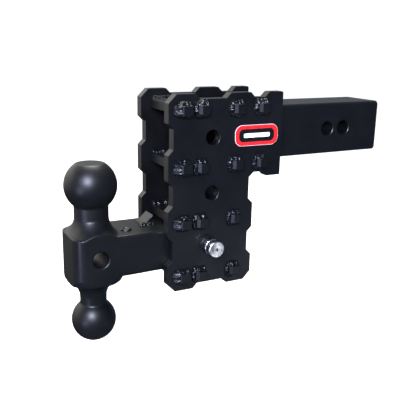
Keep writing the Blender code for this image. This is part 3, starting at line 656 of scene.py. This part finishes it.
def tooth_edge(edge_x, inward, row_zs, first_z, last_z):
    """One scalloped upright edge, read downwards: a tooth at each row, a notch between rows."""
    notch_x = edge_x + inward * SCALLOP_DEPTH
    points = [(edge_x, first_z)]
    for upper, lower in zip(row_zs, row_zs[1:]):
        points.append((edge_x, upper - SCALLOP_HALF))
        points.append((notch_x, upper - SCALLOP_HALF - SCALLOP_DEPTH))
        points.append((notch_x, lower + SCALLOP_HALF + SCALLOP_DEPTH))
        points.append((edge_x, lower + SCALLOP_HALF))
    points.append((edge_x, last_z))
    return points


def plate_outline():
    """The side plate's profile, from the top left corner clockwise."""
    rise = NOTCH_DEPTH
    top, bottom = PLATE_HIGH.z, PLATE_LOW.z
    arm_bottom = HOLE_ZS[0] - ARM_DROP
    inset = PLATE_HALF - SCALLOP_DEPTH
    outline = [
        (-PLATE_HALF + CORNER, top),
        (NOTCH[0] - rise, top),
        (NOTCH[0], top - rise),
        (NOTCH[1], top - rise),
        (NOTCH[1] + rise, top),
        (ARM_NOTCH[0], top),
        (ARM_NOTCH[0] + rise, top - rise),
        (ARM_NOTCH[1] - rise, top - rise),
        (ARM_NOTCH[1], top),
        (ARM_REACH - ARM_CORNER, top),
        (ARM_REACH, top - ARM_CORNER),
        (ARM_REACH, arm_bottom),
        (ARM_NOTCH[1], arm_bottom),
        (ARM_NOTCH[1] - rise, arm_bottom + rise),
        (PLATE_HALF, arm_bottom + rise),
        (inset, arm_bottom),
        (inset, ROW_ZS[2] + SCALLOP_HALF + SCALLOP_DEPTH),
    ]
    outline += tooth_edge(PLATE_HALF, -1, ROW_ZS[2:], ROW_ZS[2] + SCALLOP_HALF, bottom + CORNER)
    outline += [
        (PLATE_HALF - CORNER, bottom),
        (NOTCH[1] + rise, bottom),
        (NOTCH[1], bottom + rise),
        (NOTCH[0], bottom + rise),
        (NOTCH[0] - rise, bottom),
        (-PLATE_HALF + CORNER, bottom),
    ]
    outline += tooth_edge(-PLATE_HALF, 1, ROW_ZS, top - CORNER, bottom + CORNER)[::-1]
    return [(HOLE_X + x, z) for x, z in outline]


def cross_plate_outline(row):
    """A cross plate seen from above: a strip with tabs along both of its long edges."""
    half = INNER_FACE - 0.3 * MM
    edge = [(MOUTH_X, half)]
    for index, tab_x in enumerate(TAB_XS[:ROW_TAB_COUNTS[row]]):
        low = HOLE_X + tab_x - TAB_WIDTH / 2
        high = low + TAB_WIDTH
        lead = TAB_LEAD if index else TAB_EASE
        edge += [(low, half), (low, TAB_END - lead), (low + lead, TAB_END)]
        edge += [(high - TAB_EASE, TAB_END), (high, TAB_END - TAB_EASE), (high, half)]
    edge.append((ROWS[row][1].x, half))
    return edge + [(x, -y) for x, y in reversed(edge)]


def mount_outline():
    """The ball mount seen from above: a straight bar with a blunt, rounded nose."""
    half = MOUNT_HIGH.y
    lead = 4.0 * MM
    steps = 12
    turns = [math.pi / 2 * step / steps for step in range(steps + 1)]
    side = [(MOUNT_LOW.x + BOSS_CORNER[0] * (1 - math.cos(turn)),
             half - BOSS_CORNER[1] * (1 - math.sin(turn))) for turn in turns]
    side += [(MOUNT_HIGH.x - lead, half), (MOUNT_HIGH.x, half - lead)]
    return side + [(x, -y) for x, y in reversed(side)]


def ball_profile():
    """Both balls, their necks and flares, from top to bottom."""
    upper_z, upper_r = UPPER_BALL
    lower_z, lower_r = LOWER_BALL
    flat = math.degrees(math.acos(UPPER_FLAT_RADIUS / upper_r))
    neck = -math.degrees(math.acos(UPPER_NECK / upper_r))
    upper = [(0.0, upper_z + upper_r * math.sin(math.radians(flat)))]
    upper += arc((0.0, upper_z), upper_r, flat, neck, 40)
    upper += arc((UPPER_NECK + UPPER_FLARE[1], UPPER_FLARE[0]), UPPER_FLARE[1], 180, UPPER_FLARE_END,
                 14)
    last_r, last_z = upper[-1]
    upper.append((last_r + SKIRT_SPREAD, last_z - SKIRT_SPREAD))
    core = last_r + SKIRT_SPREAD + CORE_MARGIN
    steep = arc((LOWER_NECK + LOWER_FLARE[1], LOWER_FLARE[0]), LOWER_FLARE[1],
                LOWER_FLARE_START, 180, 20)
    neck = math.degrees(math.acos(LOWER_NECK / lower_r))
    flat = -math.degrees(math.acos(LOWER_FLAT_RADIUS / lower_r))
    lower = arc((0.0, lower_z), lower_r, neck, flat, 36)
    lower.append((0.0, lower_z + lower_r * math.sin(math.radians(flat))))
    return upper + [(core, 0.0), (core, BAR_BOTTOM + 2 * MM)] + steep + lower


# ---------------------------------------------------------------- operators

class HITCH_OT_shank(bpy.types.Operator):
    """Build the square shank with its cross holes and its tongue between the plates"""
    bl_idname = "hitch.shank"
    bl_label = "Shank"

    def execute(self, context):
        sizes = context.scene.hitch_plates
        half = SHANK_HIGH.y
        section = rounded_rectangle((0.0, 0.0), half, half, sizes.shank_round, 10)
        shank = new_object("shank_bar", prism(section, SHANK_STEP_X, SHANK_HIGH.x, 'X'))
        tongue = rectangle(-half, -TONGUE_HALF, half, TONGUE_HALF)
        overlap = 4 * MM
        carve(shank, prism(tongue, SHANK_LOW.x, SHANK_STEP_X + overlap, 'X'), 'UNION')
        bm = bmesh.new()
        for x in SHANK_HOLE_XS:
            add_hole_tool(bm, x, 0.0, SHANK_HOLE_RADIUS, sizes.hole_chamfer, -half, half)
        carve(shank, bm)
        ease_edges(shank, 1.2 * MM, 3, 40)
        show(shank, plate_coat(), "hitch", ["shank"])
        return {'FINISHED'}


class HITCH_OT_side_plates(bpy.types.Operator):
    """Build both scalloped side plates with their pin holes and tab slots"""
    bl_idname = "hitch.side_plates"
    bl_label = "Side Plates"

    def execute(self, context):
        sizes = context.scene.hitch_plates
        outer = INNER_FACE + sizes.thickness
        half_w, half_t = TAB_WIDTH / 2 + SLOT_GAP, CROSS_THICK / 2 + SLOT_GAP
        for side, side_name in SIDES:
            plate = new_object(f"side_plate_{side_name}_cut",
                               prism(plate_outline(), side * INNER_FACE, side * outer, 'Y'))
            near, far = sorted((side * INNER_FACE, side * outer))
            bm = bmesh.new()
            for z in HOLE_ZS:
                add_hole_tool(bm, HOLE_X, z, PLATE_HOLE_RADIUS, 0.6 * MM, near, far)
            for z, count in zip(ROW_ZS, ROW_TAB_COUNTS):
                for tab_x in TAB_XS[:count]:
                    x = HOLE_X + tab_x
                    slot = rectangle(x - half_w, z - half_t, x + half_w, z + half_t)
                    add_prism(bm, slot, near - MM, far + MM, 'Y')
            carve(plate, bm)
            ease_edges(plate, sizes.edge_round, 3)
            show(plate, plate_coat(), "hitch", [f"side_plate_{side_name}"])
        return {'FINISHED'}


class HITCH_OT_cross_plates(bpy.types.Operator):
    """Build the four cross plates, whose tabs stand out through the side plates"""
    bl_idname = "hitch.cross_plates"
    bl_label = "Cross Plates"

    def execute(self, context):
        for row, (low, high) in enumerate(ROWS):
            plate = new_object(f"cross_plate_{row + 1}_cut",
                               prism(cross_plate_outline(row), low.z, high.z, 'Z'))
            ease_edges(plate, 0.8 * MM, 3)
            show(plate, plate_coat(), "hitch", [f"cross_plate_row{row + 1}"])
        return {'FINISHED'}


class HITCH_OT_tab_welds(bpy.types.Operator):
    """Lay the beads round every tab, with a wide one down the end of each row's first tab"""
    bl_idname = "hitch.tab_welds"
    bl_label = "Tab Welds"

    def execute(self, context):
        sizes = context.scene.hitch_welds
        half_t = CROSS_THICK / 2
        face = INNER_FACE + context.scene.hitch_plates.thickness
        for side, side_name in SIDES:
            out = (0, side, 0)
            seed = 11 + side
            for row, (z, count) in enumerate(zip(ROW_ZS, ROW_TAB_COUNTS)):
                bm = bmesh.new()
                for index, tab_x in enumerate(TAB_XS[:count]):
                    low = HOLE_X + tab_x - TAB_WIDTH / 2
                    high = low + TAB_WIDTH
                    seed += 1
                    for up in (1, -1):
                        edge_z = z + up * half_t
                        start, end = low - BEAD_OVERRUN[0], high + BEAD_OVERRUN[1]
                        lay_bead(bm, (start, side * face, edge_z), (end, side * face, edge_z), out,
                                 (0, 0, up), sizes.leg, seed + 0.5 * up)
                    reach, leg, shape = half_t, sizes.side_leg, {}
                    if index == 0:
                        reach, leg = half_t + END_BEAD_REACH, sizes.end_leg
                        shape = {"flatness": 0.20, "rough": 0.5}
                    lay_bead(bm, (low, side * face, z - reach), (low, side * face, z + reach), out,
                             (-1, 0, 0), leg, seed + 0.25, **shape)
                welds = new_object(f"tab_welds_row{row + 1}_{side_name}", bm, BEAD_SMOOTH)
                show(welds, weld_coat(), "hitch")
        return {'FINISHED'}


class HITCH_OT_seam_welds(bpy.types.Operator):
    """Lay the beads in the pocket mouths and between the plates' arms and the shank"""
    bl_idname = "hitch.seam_welds"
    bl_label = "Seam Welds"

    def execute(self, context):
        for row, leg in enumerate(POCKET_WELD_LEGS):
            for side, side_name in SIDES:
                node = f"pocket_weld_row{row + 1}_{side_name}"
                low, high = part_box(node)
                bm = bmesh.new()
                lay_bead(bm, (low.x, side * INNER_FACE, ROWS[row][1].z),
                         (high.x, side * INNER_FACE, ROWS[row][1].z), (0, 0, 1), (0, -side, 0),
                         leg, 40 + row + 0.5 * side)
                welds = new_object(f"pocket_bead_{row + 1}_{side_name}", bm, BEAD_SMOOTH)
                show(welds, weld_coat(), "hitch", [node])
        for side, side_name in SIDES:
            node = f"shank_weld_{side_name}"
            low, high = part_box(node)
            wall = side * SHANK_HIGH.y
            bm = bmesh.new()
            lay_bead(bm, (PLATE_HIGH.x, wall, low.z), (PLATE_HIGH.x, wall, high.z), (1, 0, 0),
                     (0, side, 0), SHANK_WELD_LEG, 60 + side)
            welds = new_object(f"shank_bead_{side_name}", bm, BEAD_SMOOTH)
            show(welds, weld_coat(), "hitch", [node])
        return {'FINISHED'}


class HITCH_OT_ball_mount(bpy.types.Operator):
    """Forge the ball mount: bar, boss and both balls, softened as a forging and trued on the balls"""
    bl_idname = "hitch.ball_mount"
    bl_label = "Ball Mount"

    def execute(self, context):
        sizes = context.scene.hitch_mount
        plan = mount_outline()
        bm = prism(plan, PIN_Z + BAR_BOTTOM, PIN_Z + BAR_TOP, 'Z')
        rims = [edge for edge in bm.edges if abs(edge.verts[0].co.z - edge.verts[1].co.z) < 1e-6]
        bmesh.ops.bevel(bm, geom=rims, offset=sizes.edge, segments=6, profile=0.5, affect='EDGES',
                        clamp_overlap=True)
        mount = new_object("forged_ball_mount", bm)
        bm = turned(ball_profile(), (BALL_X, 0.0, PIN_Z), 'Z', 128)
        for vertex in bm.verts:
            if vertex.co.z > PIN_Z:
                vertex.co.y *= 1 + STRETCH_RATE * max(0.0, PIN_Z + STRETCH_START - vertex.co.z)
        balls = new_object("balls", bm)
        past_balls = 0.15
        carve(balls, prism(plan, PIN_Z - past_balls, PIN_Z + past_balls, 'Z'), 'INTERSECT')
        bm = bmesh.new()
        bm.from_mesh(balls.data)
        bpy.data.objects.remove(balls, do_unlink=True)
        carve(mount, bm, 'UNION')
        bm = bmesh.new()
        half = MOUNT_HIGH.y
        add_hole_tool(bm, BALL_X, PIN_Z + CROSS_HOLE[0], CROSS_HOLE[1], 1.4 * MM, -half, half)
        add_hole_tool(bm, HOLE_X, PIN_Z, MOUNT_HOLE_RADIUS, 0.8 * MM, -half, half)
        carve(mount, bm)
        remesh = mount.modifiers.new("forging", 'REMESH')
        remesh.mode = 'VOXEL'
        remesh.voxel_size = sizes.voxel
        soften = mount.modifiers.new("soften", 'SMOOTH')
        soften.factor = 0.5
        soften.iterations = sizes.passes
        settle(mount)
        self.true_up(mount.data)
        mount.data.shade_smooth()
        show(mount, forging_coat(), "ball_mount", ["ball_mount"])
        return {'FINISHED'}

    @staticmethod
    def true_up(mesh):
        """Put the balls' skin back on true spheres after the softening."""
        rim_margin, skin = 0.6 * MM, 1.2 * MM
        for (height, radius), flat, neck, way in (
                (UPPER_BALL, UPPER_FLAT_RADIUS, UPPER_NECK, 1),
                (LOWER_BALL, LOWER_FLAT_RADIUS, LOWER_NECK, -1)):
            centre = Vector((BALL_X, 0.0, PIN_Z + height))
            top = math.sqrt(radius ** 2 - flat ** 2) - rim_margin
            low = -math.sqrt(radius ** 2 - neck ** 2) + skin
            for vertex in mesh.vertices:
                offset = vertex.co - centre
                if low < offset.z * way < top and abs(offset.length - radius) < skin:
                    vertex.co = centre + offset.normalized() * radius


class HITCH_OT_bar_details(bpy.types.Operator):
    """Build the round plug in the bar's top, the sloping stop lug and the weld beside it"""
    bl_idname = "hitch.bar_details"
    bl_label = "Bar Details"

    def execute(self, context):
        centre = ((PLUG_LOW.x + PLUG_HIGH.x) / 2, (PLUG_LOW.y + PLUG_HIGH.y) / 2, 0.0)
        radius = (PLUG_HIGH.x - PLUG_LOW.x) / 2
        top = PIN_Z + BAR_TOP
        # A raised ring round a shallow dish: share of the radius, depth below the crest
        section = ((0.0, 1.1), (0.35, 1.0), (0.52, 0.4), (0.64, 0.0), (0.80, 0.2), (0.93, 0.9))
        profile = [(radius * share, PLUG_HIGH.z - depth * MM) for share, depth in section]
        profile += [(radius, top + 0.1 * MM), (radius, PLUG_LOW.z), (0.0, PLUG_LOW.z)]
        plug = new_object("bar_plug_dome", turned(profile, centre, 'Z', 64), 40)
        show(plug, forging_coat(), "ball_mount", ["bar_top_plug"])

        length = (LUG_HIGH.z - LUG_LOW.z) / math.sin(LUG_SLOPE)
        rise = Vector((math.cos(LUG_SLOPE), math.sin(LUG_SLOPE))) * length
        back = Vector((math.sin(LUG_SLOPE), -math.cos(LUG_SLOPE))) * LUG_THICK
        foot = Vector((LUG_LOW.x, LUG_LOW.z))
        spread = LUG_THICK / math.sin(LUG_SLOPE)
        outline = [foot, foot + rise, foot + rise + back, foot + Vector((spread, 0.0))]
        lug = new_object("sloping_stop_lug", prism(outline, LUG_LOW.y, LUG_HIGH.y, 'Y'))
        ease_edges(lug, 0.6 * MM, 3)
        show(lug, plate_coat(), "ball_mount", ["stop_lug"])

        low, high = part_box("stop_lug_weld")
        side_y = high.y
        bm = bmesh.new()
        lay_bead(bm, (low.x, side_y, top), (high.x, side_y, top), (0, 0, 1), (0, -1, 0),
                 LUG_WELD_LEGS[0], 71)
        lay_bead(bm, (LUG_LOW.x, side_y - 1 * MM, top), (LUG_LOW.x, LUG_HIGH.y, top), (0, 0, 1),
                 (-1, 0, 0), LUG_WELD_LEGS[1], 75)
        weld = new_object("lug_beads", bm, BEAD_SMOOTH)
        show(weld, weld_coat(), "ball_mount", ["stop_lug_weld"])
        return {'FINISHED'}


class HITCH_OT_locking_pin(bpy.types.Operator):
    """Turn the stainless pin with its grooved head and necked tail"""
    bl_idname = "hitch.locking_pin"
    bl_label = "Locking Pin"

    def execute(self, context):
        finish = turned_metal("turned_stainless_steel", context.scene.hitch_colours.stainless,
                              rough=0.26, groove_mm=0.9, groove_depth=0.06 * MM)
        end, tip = PIN_LOW.y, PIN_HIGH.y
        face = end + HEAD_LENGTH
        tail = tip - TAIL_LENGTH
        neck_end = tail + 5 * MM
        groove_start, groove_end = face - 10.6 * MM, face - 4.8 * MM
        ease, corner, lead, wall = 0.8 * MM, 1.2 * MM, 1.5 * MM, 1.0 * MM
        profile = [
            # the head's dimpled end, its groove, and the shoulder that meets the plate
            (0.0, end + 0.9 * MM), (1.3 * MM, end + 0.4 * MM), (1.9 * MM, end),
            (HEAD_RADIUS - corner, end), (HEAD_RADIUS, end + corner),
            (HEAD_RADIUS, groove_start), (HEAD_RADIUS - ease, groove_start + ease),
            (HEAD_GROOVE_RADIUS, groove_start + wall), (HEAD_GROOVE_RADIUS, groove_end - wall),
            (HEAD_RADIUS - ease, groove_end - ease), (HEAD_RADIUS, groove_end),
            (HEAD_RADIUS, face - ease), (HEAD_RADIUS - ease, face),
            # the shaft, and the necked tail that the lock grips
            (PIN_RADIUS, face), (PIN_RADIUS, tail - lead), (PIN_RADIUS - lead, tail),
            (TAIL_NECK_RADIUS, tail), (TAIL_NECK_RADIUS, neck_end), (TAIL_RADIUS, neck_end),
            (TAIL_RADIUS, tip - lead), (TAIL_RADIUS - lead, tip), (0.0, tip),
        ]
        pin = new_object("turned_locking_pin", turned(profile, PIN_AXIS, 'Y', 96))
        ease_edges(pin, 0.25 * MM, 2, 35)
        show(pin, finish, "locking_pin", ["locking_pin"])
        return {'FINISHED'}


class HITCH_OT_lock(bpy.types.Operator):
    """Build the lock: barrel, seal ring, key plug with its keyway, and ribbed rubber cap"""
    bl_idname = "hitch.lock"
    bl_label = "Lock"

    def execute(self, context):
        colours = context.scene.hitch_colours
        chrome = turned_metal("plated_lock_steel", colours.stainless, rough=0.16, groove_mm=1.2,
                              groove_depth=0.03 * MM)
        brass = turned_metal("machined_brass", colours.brass, rough=0.28, groove_mm=0.6,
                             groove_depth=0.04 * MM)
        outer = (BARREL_HIGH.x - BARREL_LOW.x) / 2
        key = (KEY_HIGH.x - KEY_LOW.x) / 2
        self.barrel(outer, key, chrome)

        start, end = SEAL_LOW.y, SEAL_HIGH.y
        half = (end - start) / 2
        crown = arc(((SEAL_HIGH.x - SEAL_LOW.x) / 2 - half, start + half), half, -90, 90, 12)
        profile = [(LOCK_BORE, start)] + crown + [(LOCK_BORE, end)]
        seal = new_object("moulded_seal_ring", turned(profile, PIN_AXIS, 'Y', 96), 60)
        show(seal, rubber(), "lock", ["lock_seal_ring"])

        start, end = KEY_LOW.y, KEY_HIGH.y
        ease, rim, dish = 0.5 * MM, 1.6 * MM, 0.3 * MM
        profile = [(0.0, start), (key, start), (key, end - ease), (key - ease, end),
                   (key - rim, end), (key - rim - dish, end - dish), (0.0, end - dish)]
        plug = new_object("machined_key_plug", turned(profile, PIN_AXIS, 'Y', 72))
        for half_w, low_z, high_z in KEYWAY:
            slot = rectangle(HOLE_X - half_w, PIN_Z + low_z, HOLE_X + half_w, PIN_Z + high_z)
            carve(plug, prism(slot, end - 6 * MM, end + 2 * MM, 'Y'))
        ease_edges(plug, 0.15 * MM, 2, 35)
        show(plug, brass, "key_plug", ["lock_key_plug"])

        self.cap(outer + 0.3 * MM)
        return {'FINISHED'}

    @staticmethod
    def barrel(outer, key, finish):
        """The barrel, with a shallow groove round it, a hole for the pin and one for the plug."""
        near, far = BARREL_LOW.y, BARREL_HIGH.y
        groove, width, dip, lead = near + 6.0 * MM, 3.0 * MM, 0.7 * MM, 1.5 * MM
        socket_end, plug_seat = near + 13 * MM, far - 10 * MM
        link, key_bore = 2.0 * MM, key + 0.3 * MM
        profile = [
            (LOCK_BORE, near), (outer - lead, near), (outer, near + lead), (outer, groove),
            (outer - dip, groove + dip), (outer - dip, groove + width - dip),
            (outer, groove + width), (outer, far - lead), (outer - lead, far), (key_bore, far),
            (key_bore, plug_seat), (link, plug_seat), (link, socket_end), (LOCK_BORE, socket_end),
        ]
        barrel = new_object("turned_lock_barrel", turned(profile, PIN_AXIS, 'Y', 96))
        ease_edges(barrel, 0.3 * MM, 2, 35)
        show(barrel, finish, "lock", ["lock_barrel"])

    @staticmethod
    def cap(inner):
        """The rubber cap, with grip ribs round its skirt and a rounded crown."""
        rim = (CAP_HIGH.x - CAP_LOW.x) / 2
        bend, dish, rib_height = 1.2 * MM, 0.5 * MM, 0.022
        outer = rim - 0.8 * MM
        low, top = CAP_LOW.y, CAP_HIGH.y
        ceiling = BARREL_HIGH.y + 0.3 * MM
        profile = [(0.0, ceiling), (inner, ceiling), (inner, low), (rim, low),
                   (rim, low + 2.0 * MM), (outer, low + 2.8 * MM)]
        profile += arc((outer - bend, top - bend), bend, 0, 90, 6)
        profile += [(6.0 * MM, top), (5.5 * MM, top - dish), (0.0, top - dish)]
        bm = turned(profile, PIN_AXIS, 'Y', 120)
        for vertex in bm.verts:
            offset = Vector((vertex.co.x - HOLE_X, vertex.co.z - PIN_Z))
            if offset.length > outer - 0.1 * MM and low + 2.5 * MM < vertex.co.y < top - 1.0 * MM:
                turn = math.atan2(offset.y, offset.x)
                offset *= 1 + rib_height * max(-1.0, min(1.0, 1.6 * math.cos(CAP_RIBS * turn)))
                vertex.co.x, vertex.co.z = HOLE_X + offset.x, PIN_Z + offset.y
        cap = new_object("ribbed_dust_cap", bm, 40)
        show(cap, rubber(), "dust_cap", ["lock_dust_cap"])


class HITCH_OT_label(bpy.types.Operator):
    """Stick on the plain label: a pale border, a red field, a dark panel and one pale stripe"""
    bl_idname = "hitch.label"
    bl_label = "Label"

    def execute(self, context):
        colours = context.scene.hitch_colours
        centre = ((LABEL_LOW.x + LABEL_HIGH.x) / 2, (LABEL_LOW.z + LABEL_HIGH.z) / 2)
        half_u = (LABEL_HIGH.x - LABEL_LOW.x) / 2
        half_v = (LABEL_HIGH.z - LABEL_LOW.z) / 2
        face = LABEL_LOW.y
        layers = (
            ("label_pale_border", colours.label_white, half_u, half_v, 9.0 * MM,
             LABEL_HIGH.y, face, ["plate_label"]),
            ("label_red_field", colours.label_red, half_u - 0.3 * MM, half_v - 0.3 * MM, 8.7 * MM,
             face + 0.1 * MM, face - 0.10 * MM, []),
            ("label_dark_panel", colours.label_black, half_u - 5.2 * MM, half_v - 4.6 * MM,
             5.6 * MM, face, face - 0.20 * MM, []),
            ("label_pale_stripe", colours.label_white, half_u - 11.5 * MM, 2.4 * MM, 1.2 * MM,
             face - 0.1 * MM, face - 0.30 * MM, []),
        )
        for name, colour, u, v, corner, back, front, nodes in layers:
            shape = rounded_rectangle(centre, u, v, corner, 10)
            layer = new_object(name, prism(shape, back, front, 'Y'))
            ease_edges(layer, 0.2 * MM if nodes else 0.05 * MM, 2, 50)
            show(layer, printed_vinyl(name + "_vinyl", colour), "hitch", nodes)
        return {'FINISHED'}


class HITCH_OT_stage(bpy.types.Operator):
    """Set the pale floor, the soft studio light and the camera"""
    bl_idname = "hitch.stage"
    bl_label = "Stage"

    def execute(self, context):
        settings = context.scene.hitch_stage
        self.floor(settings)
        self.surround(context)
        for name, way, distance, width, height, power, colour in SOFTBOXES:
            self.softbox(context, name, Vector(way), distance, (width, height), power, colour)
        self.camera(context, settings)
        context.scene.view_settings.view_transform = 'Standard'
        return {'FINISHED'}

    @staticmethod
    def floor(settings):
        """A wide pale floor under the hitch, which stays out of its reflections."""
        top = CAD_LOW.z - settings.floor_drop
        slab = rectangle(-FLOOR_HALF, -FLOOR_HALF, FLOOR_HALF, FLOOR_HALF)
        floor = new_object("floor", prism(slab, top - 0.02, top, 'Z'))
        made, tree, shader, place = new_finish("pale_studio_floor", 0.0)
        shade = add_node(tree, "MapRange", [("Value", grains(tree, place, 60.0, 3.0)),
                                            ("To Min", 0.84), ("To Max", 0.88)])
        tree.links.new(shade.outputs["Result"], shader.inputs["Roughness"])
        shader.inputs["Base Color"].default_value = linear(settings.floor)
        floor.data.materials.append(made)
        floor.visible_glossy = False

    @staticmethod
    def surround(context):
        """The studio round the hitch: a white sweep behind it and a dim room in front, which its
        coat mirrors, and an even pale light for everything that isn't a reflection."""
        world = bpy.data.worlds.new("studio")
        context.scene.world = world
        world.use_nodes = True
        tree = world.node_tree
        background = tree.nodes["Background"]
        direction = add_node(tree, "TexCoord").outputs["Generated"]
        parts = add_node(tree, "SeparateXYZ", [("Vector", direction)])
        behind = add_node(tree, "MapRange", [("Value", parts.outputs["Y"]), ("From Min", 0.0),
                                             ("From Max", 0.6)], interpolation_type='SMOOTHSTEP')
        leftward = add_node(tree, "MapRange", [("Value", parts.outputs["X"]), ("From Min", 0.45),
                                               ("From Max", -0.15), ("To Min", 0.13)],
                            interpolation_type='SMOOTHSTEP')
        height = add_node(tree, "MapRange", [("Value", parts.outputs["Z"]), ("From Min", -1.0)])
        band = add_node(tree, "ValToRGB", [("Fac", height.outputs["Result"])])
        elements = band.color_ramp.elements
        (elements[0].position, first), *middle, (elements[1].position, last) = SWEEP_STOPS
        elements[0].color = tinted((1.0, 1.0, 1.0), first)
        elements[1].color = tinted((1.0, 1.0, 1.0), last)
        for stop, value in middle:
            elements.new(stop).color = tinted((1.0, 1.0, 1.0), value)
        share = combine(tree, 'MULTIPLY', behind.outputs["Result"], leftward.outputs["Result"])
        lit = add_node(tree, "VectorMath", [(0, band.outputs["Color"]), (1, SWEEP_GLOW)],
                       operation='MULTIPLY')
        sweep = add_node(tree, "MixRGB", [("Fac", share), ("Color1", ROOM_GLOW),
                                          ("Color2", lit.outputs["Vector"])])
        ray = add_node(tree, "LightPath")
        mirrored = add_node(tree, "MixRGB", [("Fac", ray.outputs["Is Glossy Ray"]),
                                             ("Color1", SOFT_LIGHT),
                                             ("Color2", sweep.outputs["Color"])])
        tree.links.new(mirrored.outputs["Color"], background.inputs["Color"])

    @staticmethod
    def softbox(context, name, way, distance, size, power, colour):
        """One rectangular softbox or card that faces the hitch."""
        lamp = bpy.data.lights.new(name, 'AREA')
        lamp.shape = 'RECTANGLE'
        lamp.size, lamp.size_y = size
        lamp.energy = power
        lamp.color = linear(colour)[:3]
        box = bpy.data.objects.new(name, lamp)
        box.location = LIGHT_AIM + way.normalized() * distance
        box.rotation_euler = (-way).to_track_quat('-Z', 'Y').to_euler()
        context.scene.collection.objects.link(box)

    @staticmethod
    def camera(context, settings):
        """The camera, from its place, yaw, pitch and roll."""
        cam = bpy.data.cameras.new("camera")
        cam.lens = settings.lens
        cam.sensor_width = 36.0
        holder = bpy.data.objects.new("camera", cam)
        context.scene.collection.objects.link(holder)
        yaw, pitch, roll = settings.yaw, settings.pitch, settings.roll
        ahead = Vector((math.sin(yaw) * math.cos(pitch), math.cos(yaw) * math.cos(pitch),
                        -math.sin(pitch)))
        right = Vector((math.cos(yaw), -math.sin(yaw), 0.0))
        up = right.cross(ahead)
        rolled_right = right * math.cos(roll) + up * math.sin(roll)
        rolled_up = up * math.cos(roll) - right * math.sin(roll)
        turn = Matrix((rolled_right, rolled_up, -ahead)).transposed()
        holder.matrix_world = Matrix.Translation(settings.camera_place) @ turn.to_4x4()
        context.scene.camera = holder


class HITCH_PT_panel(bpy.types.Panel):
    """Lists the hitch's pieces and what can be changed about them"""
    bl_idname = "HITCH_PT_panel"
    bl_label = "Drop Hitch"
    bl_space_type = 'VIEW_3D'
    bl_region_type = 'UI'
    bl_category = "Drop Hitch"

    def draw(self, context):
        layout = self.layout
        for settings in (context.scene.hitch_colours, context.scene.hitch_plates,
                         context.scene.hitch_welds, context.scene.hitch_mount,
                         context.scene.hitch_stage):
            column = layout.column(align=True)
            for name in settings.__annotations__:
                column.prop(settings, name)
        column = layout.column(align=True)
        for operator in OPERATORS:
            column.operator(operator.bl_idname)


OPERATORS = (HITCH_OT_shank, HITCH_OT_side_plates, HITCH_OT_cross_plates, HITCH_OT_tab_welds,
             HITCH_OT_seam_welds, HITCH_OT_ball_mount, HITCH_OT_bar_details, HITCH_OT_locking_pin,
             HITCH_OT_lock, HITCH_OT_label, HITCH_OT_stage)
GROUPS = (("hitch_colours", HitchColours), ("hitch_plates", PlateSizes),
          ("hitch_welds", WeldSizes), ("hitch_mount", MountSizes), ("hitch_stage", StageSettings))


def register():
    """Register the settings, the operators and the panel."""
    for name, group in GROUPS:
        bpy.utils.register_class(group)
        setattr(bpy.types.Scene, name, PointerProperty(type=group))
    for made in (*OPERATORS, HITCH_PT_panel):
        bpy.utils.register_class(made)


def unregister():
    """Take everything off again, last first."""
    for made in (HITCH_PT_panel, *reversed(OPERATORS)):
        bpy.utils.unregister_class(made)
    for name, group in reversed(GROUPS):
        delattr(bpy.types.Scene, name)
        bpy.utils.unregister_class(group)


def main():
    """Build every piece and the stage."""
    register()
    bpy.ops.hitch.stage()
    bpy.ops.hitch.shank()
    bpy.ops.hitch.side_plates()
    bpy.ops.hitch.cross_plates()
    bpy.ops.hitch.tab_welds()
    bpy.ops.hitch.seam_welds()
    bpy.ops.hitch.ball_mount()
    bpy.ops.hitch.bar_details()
    bpy.ops.hitch.locking_pin()
    bpy.ops.hitch.lock()
    bpy.ops.hitch.label()


if __name__ == "__main__":
    main()
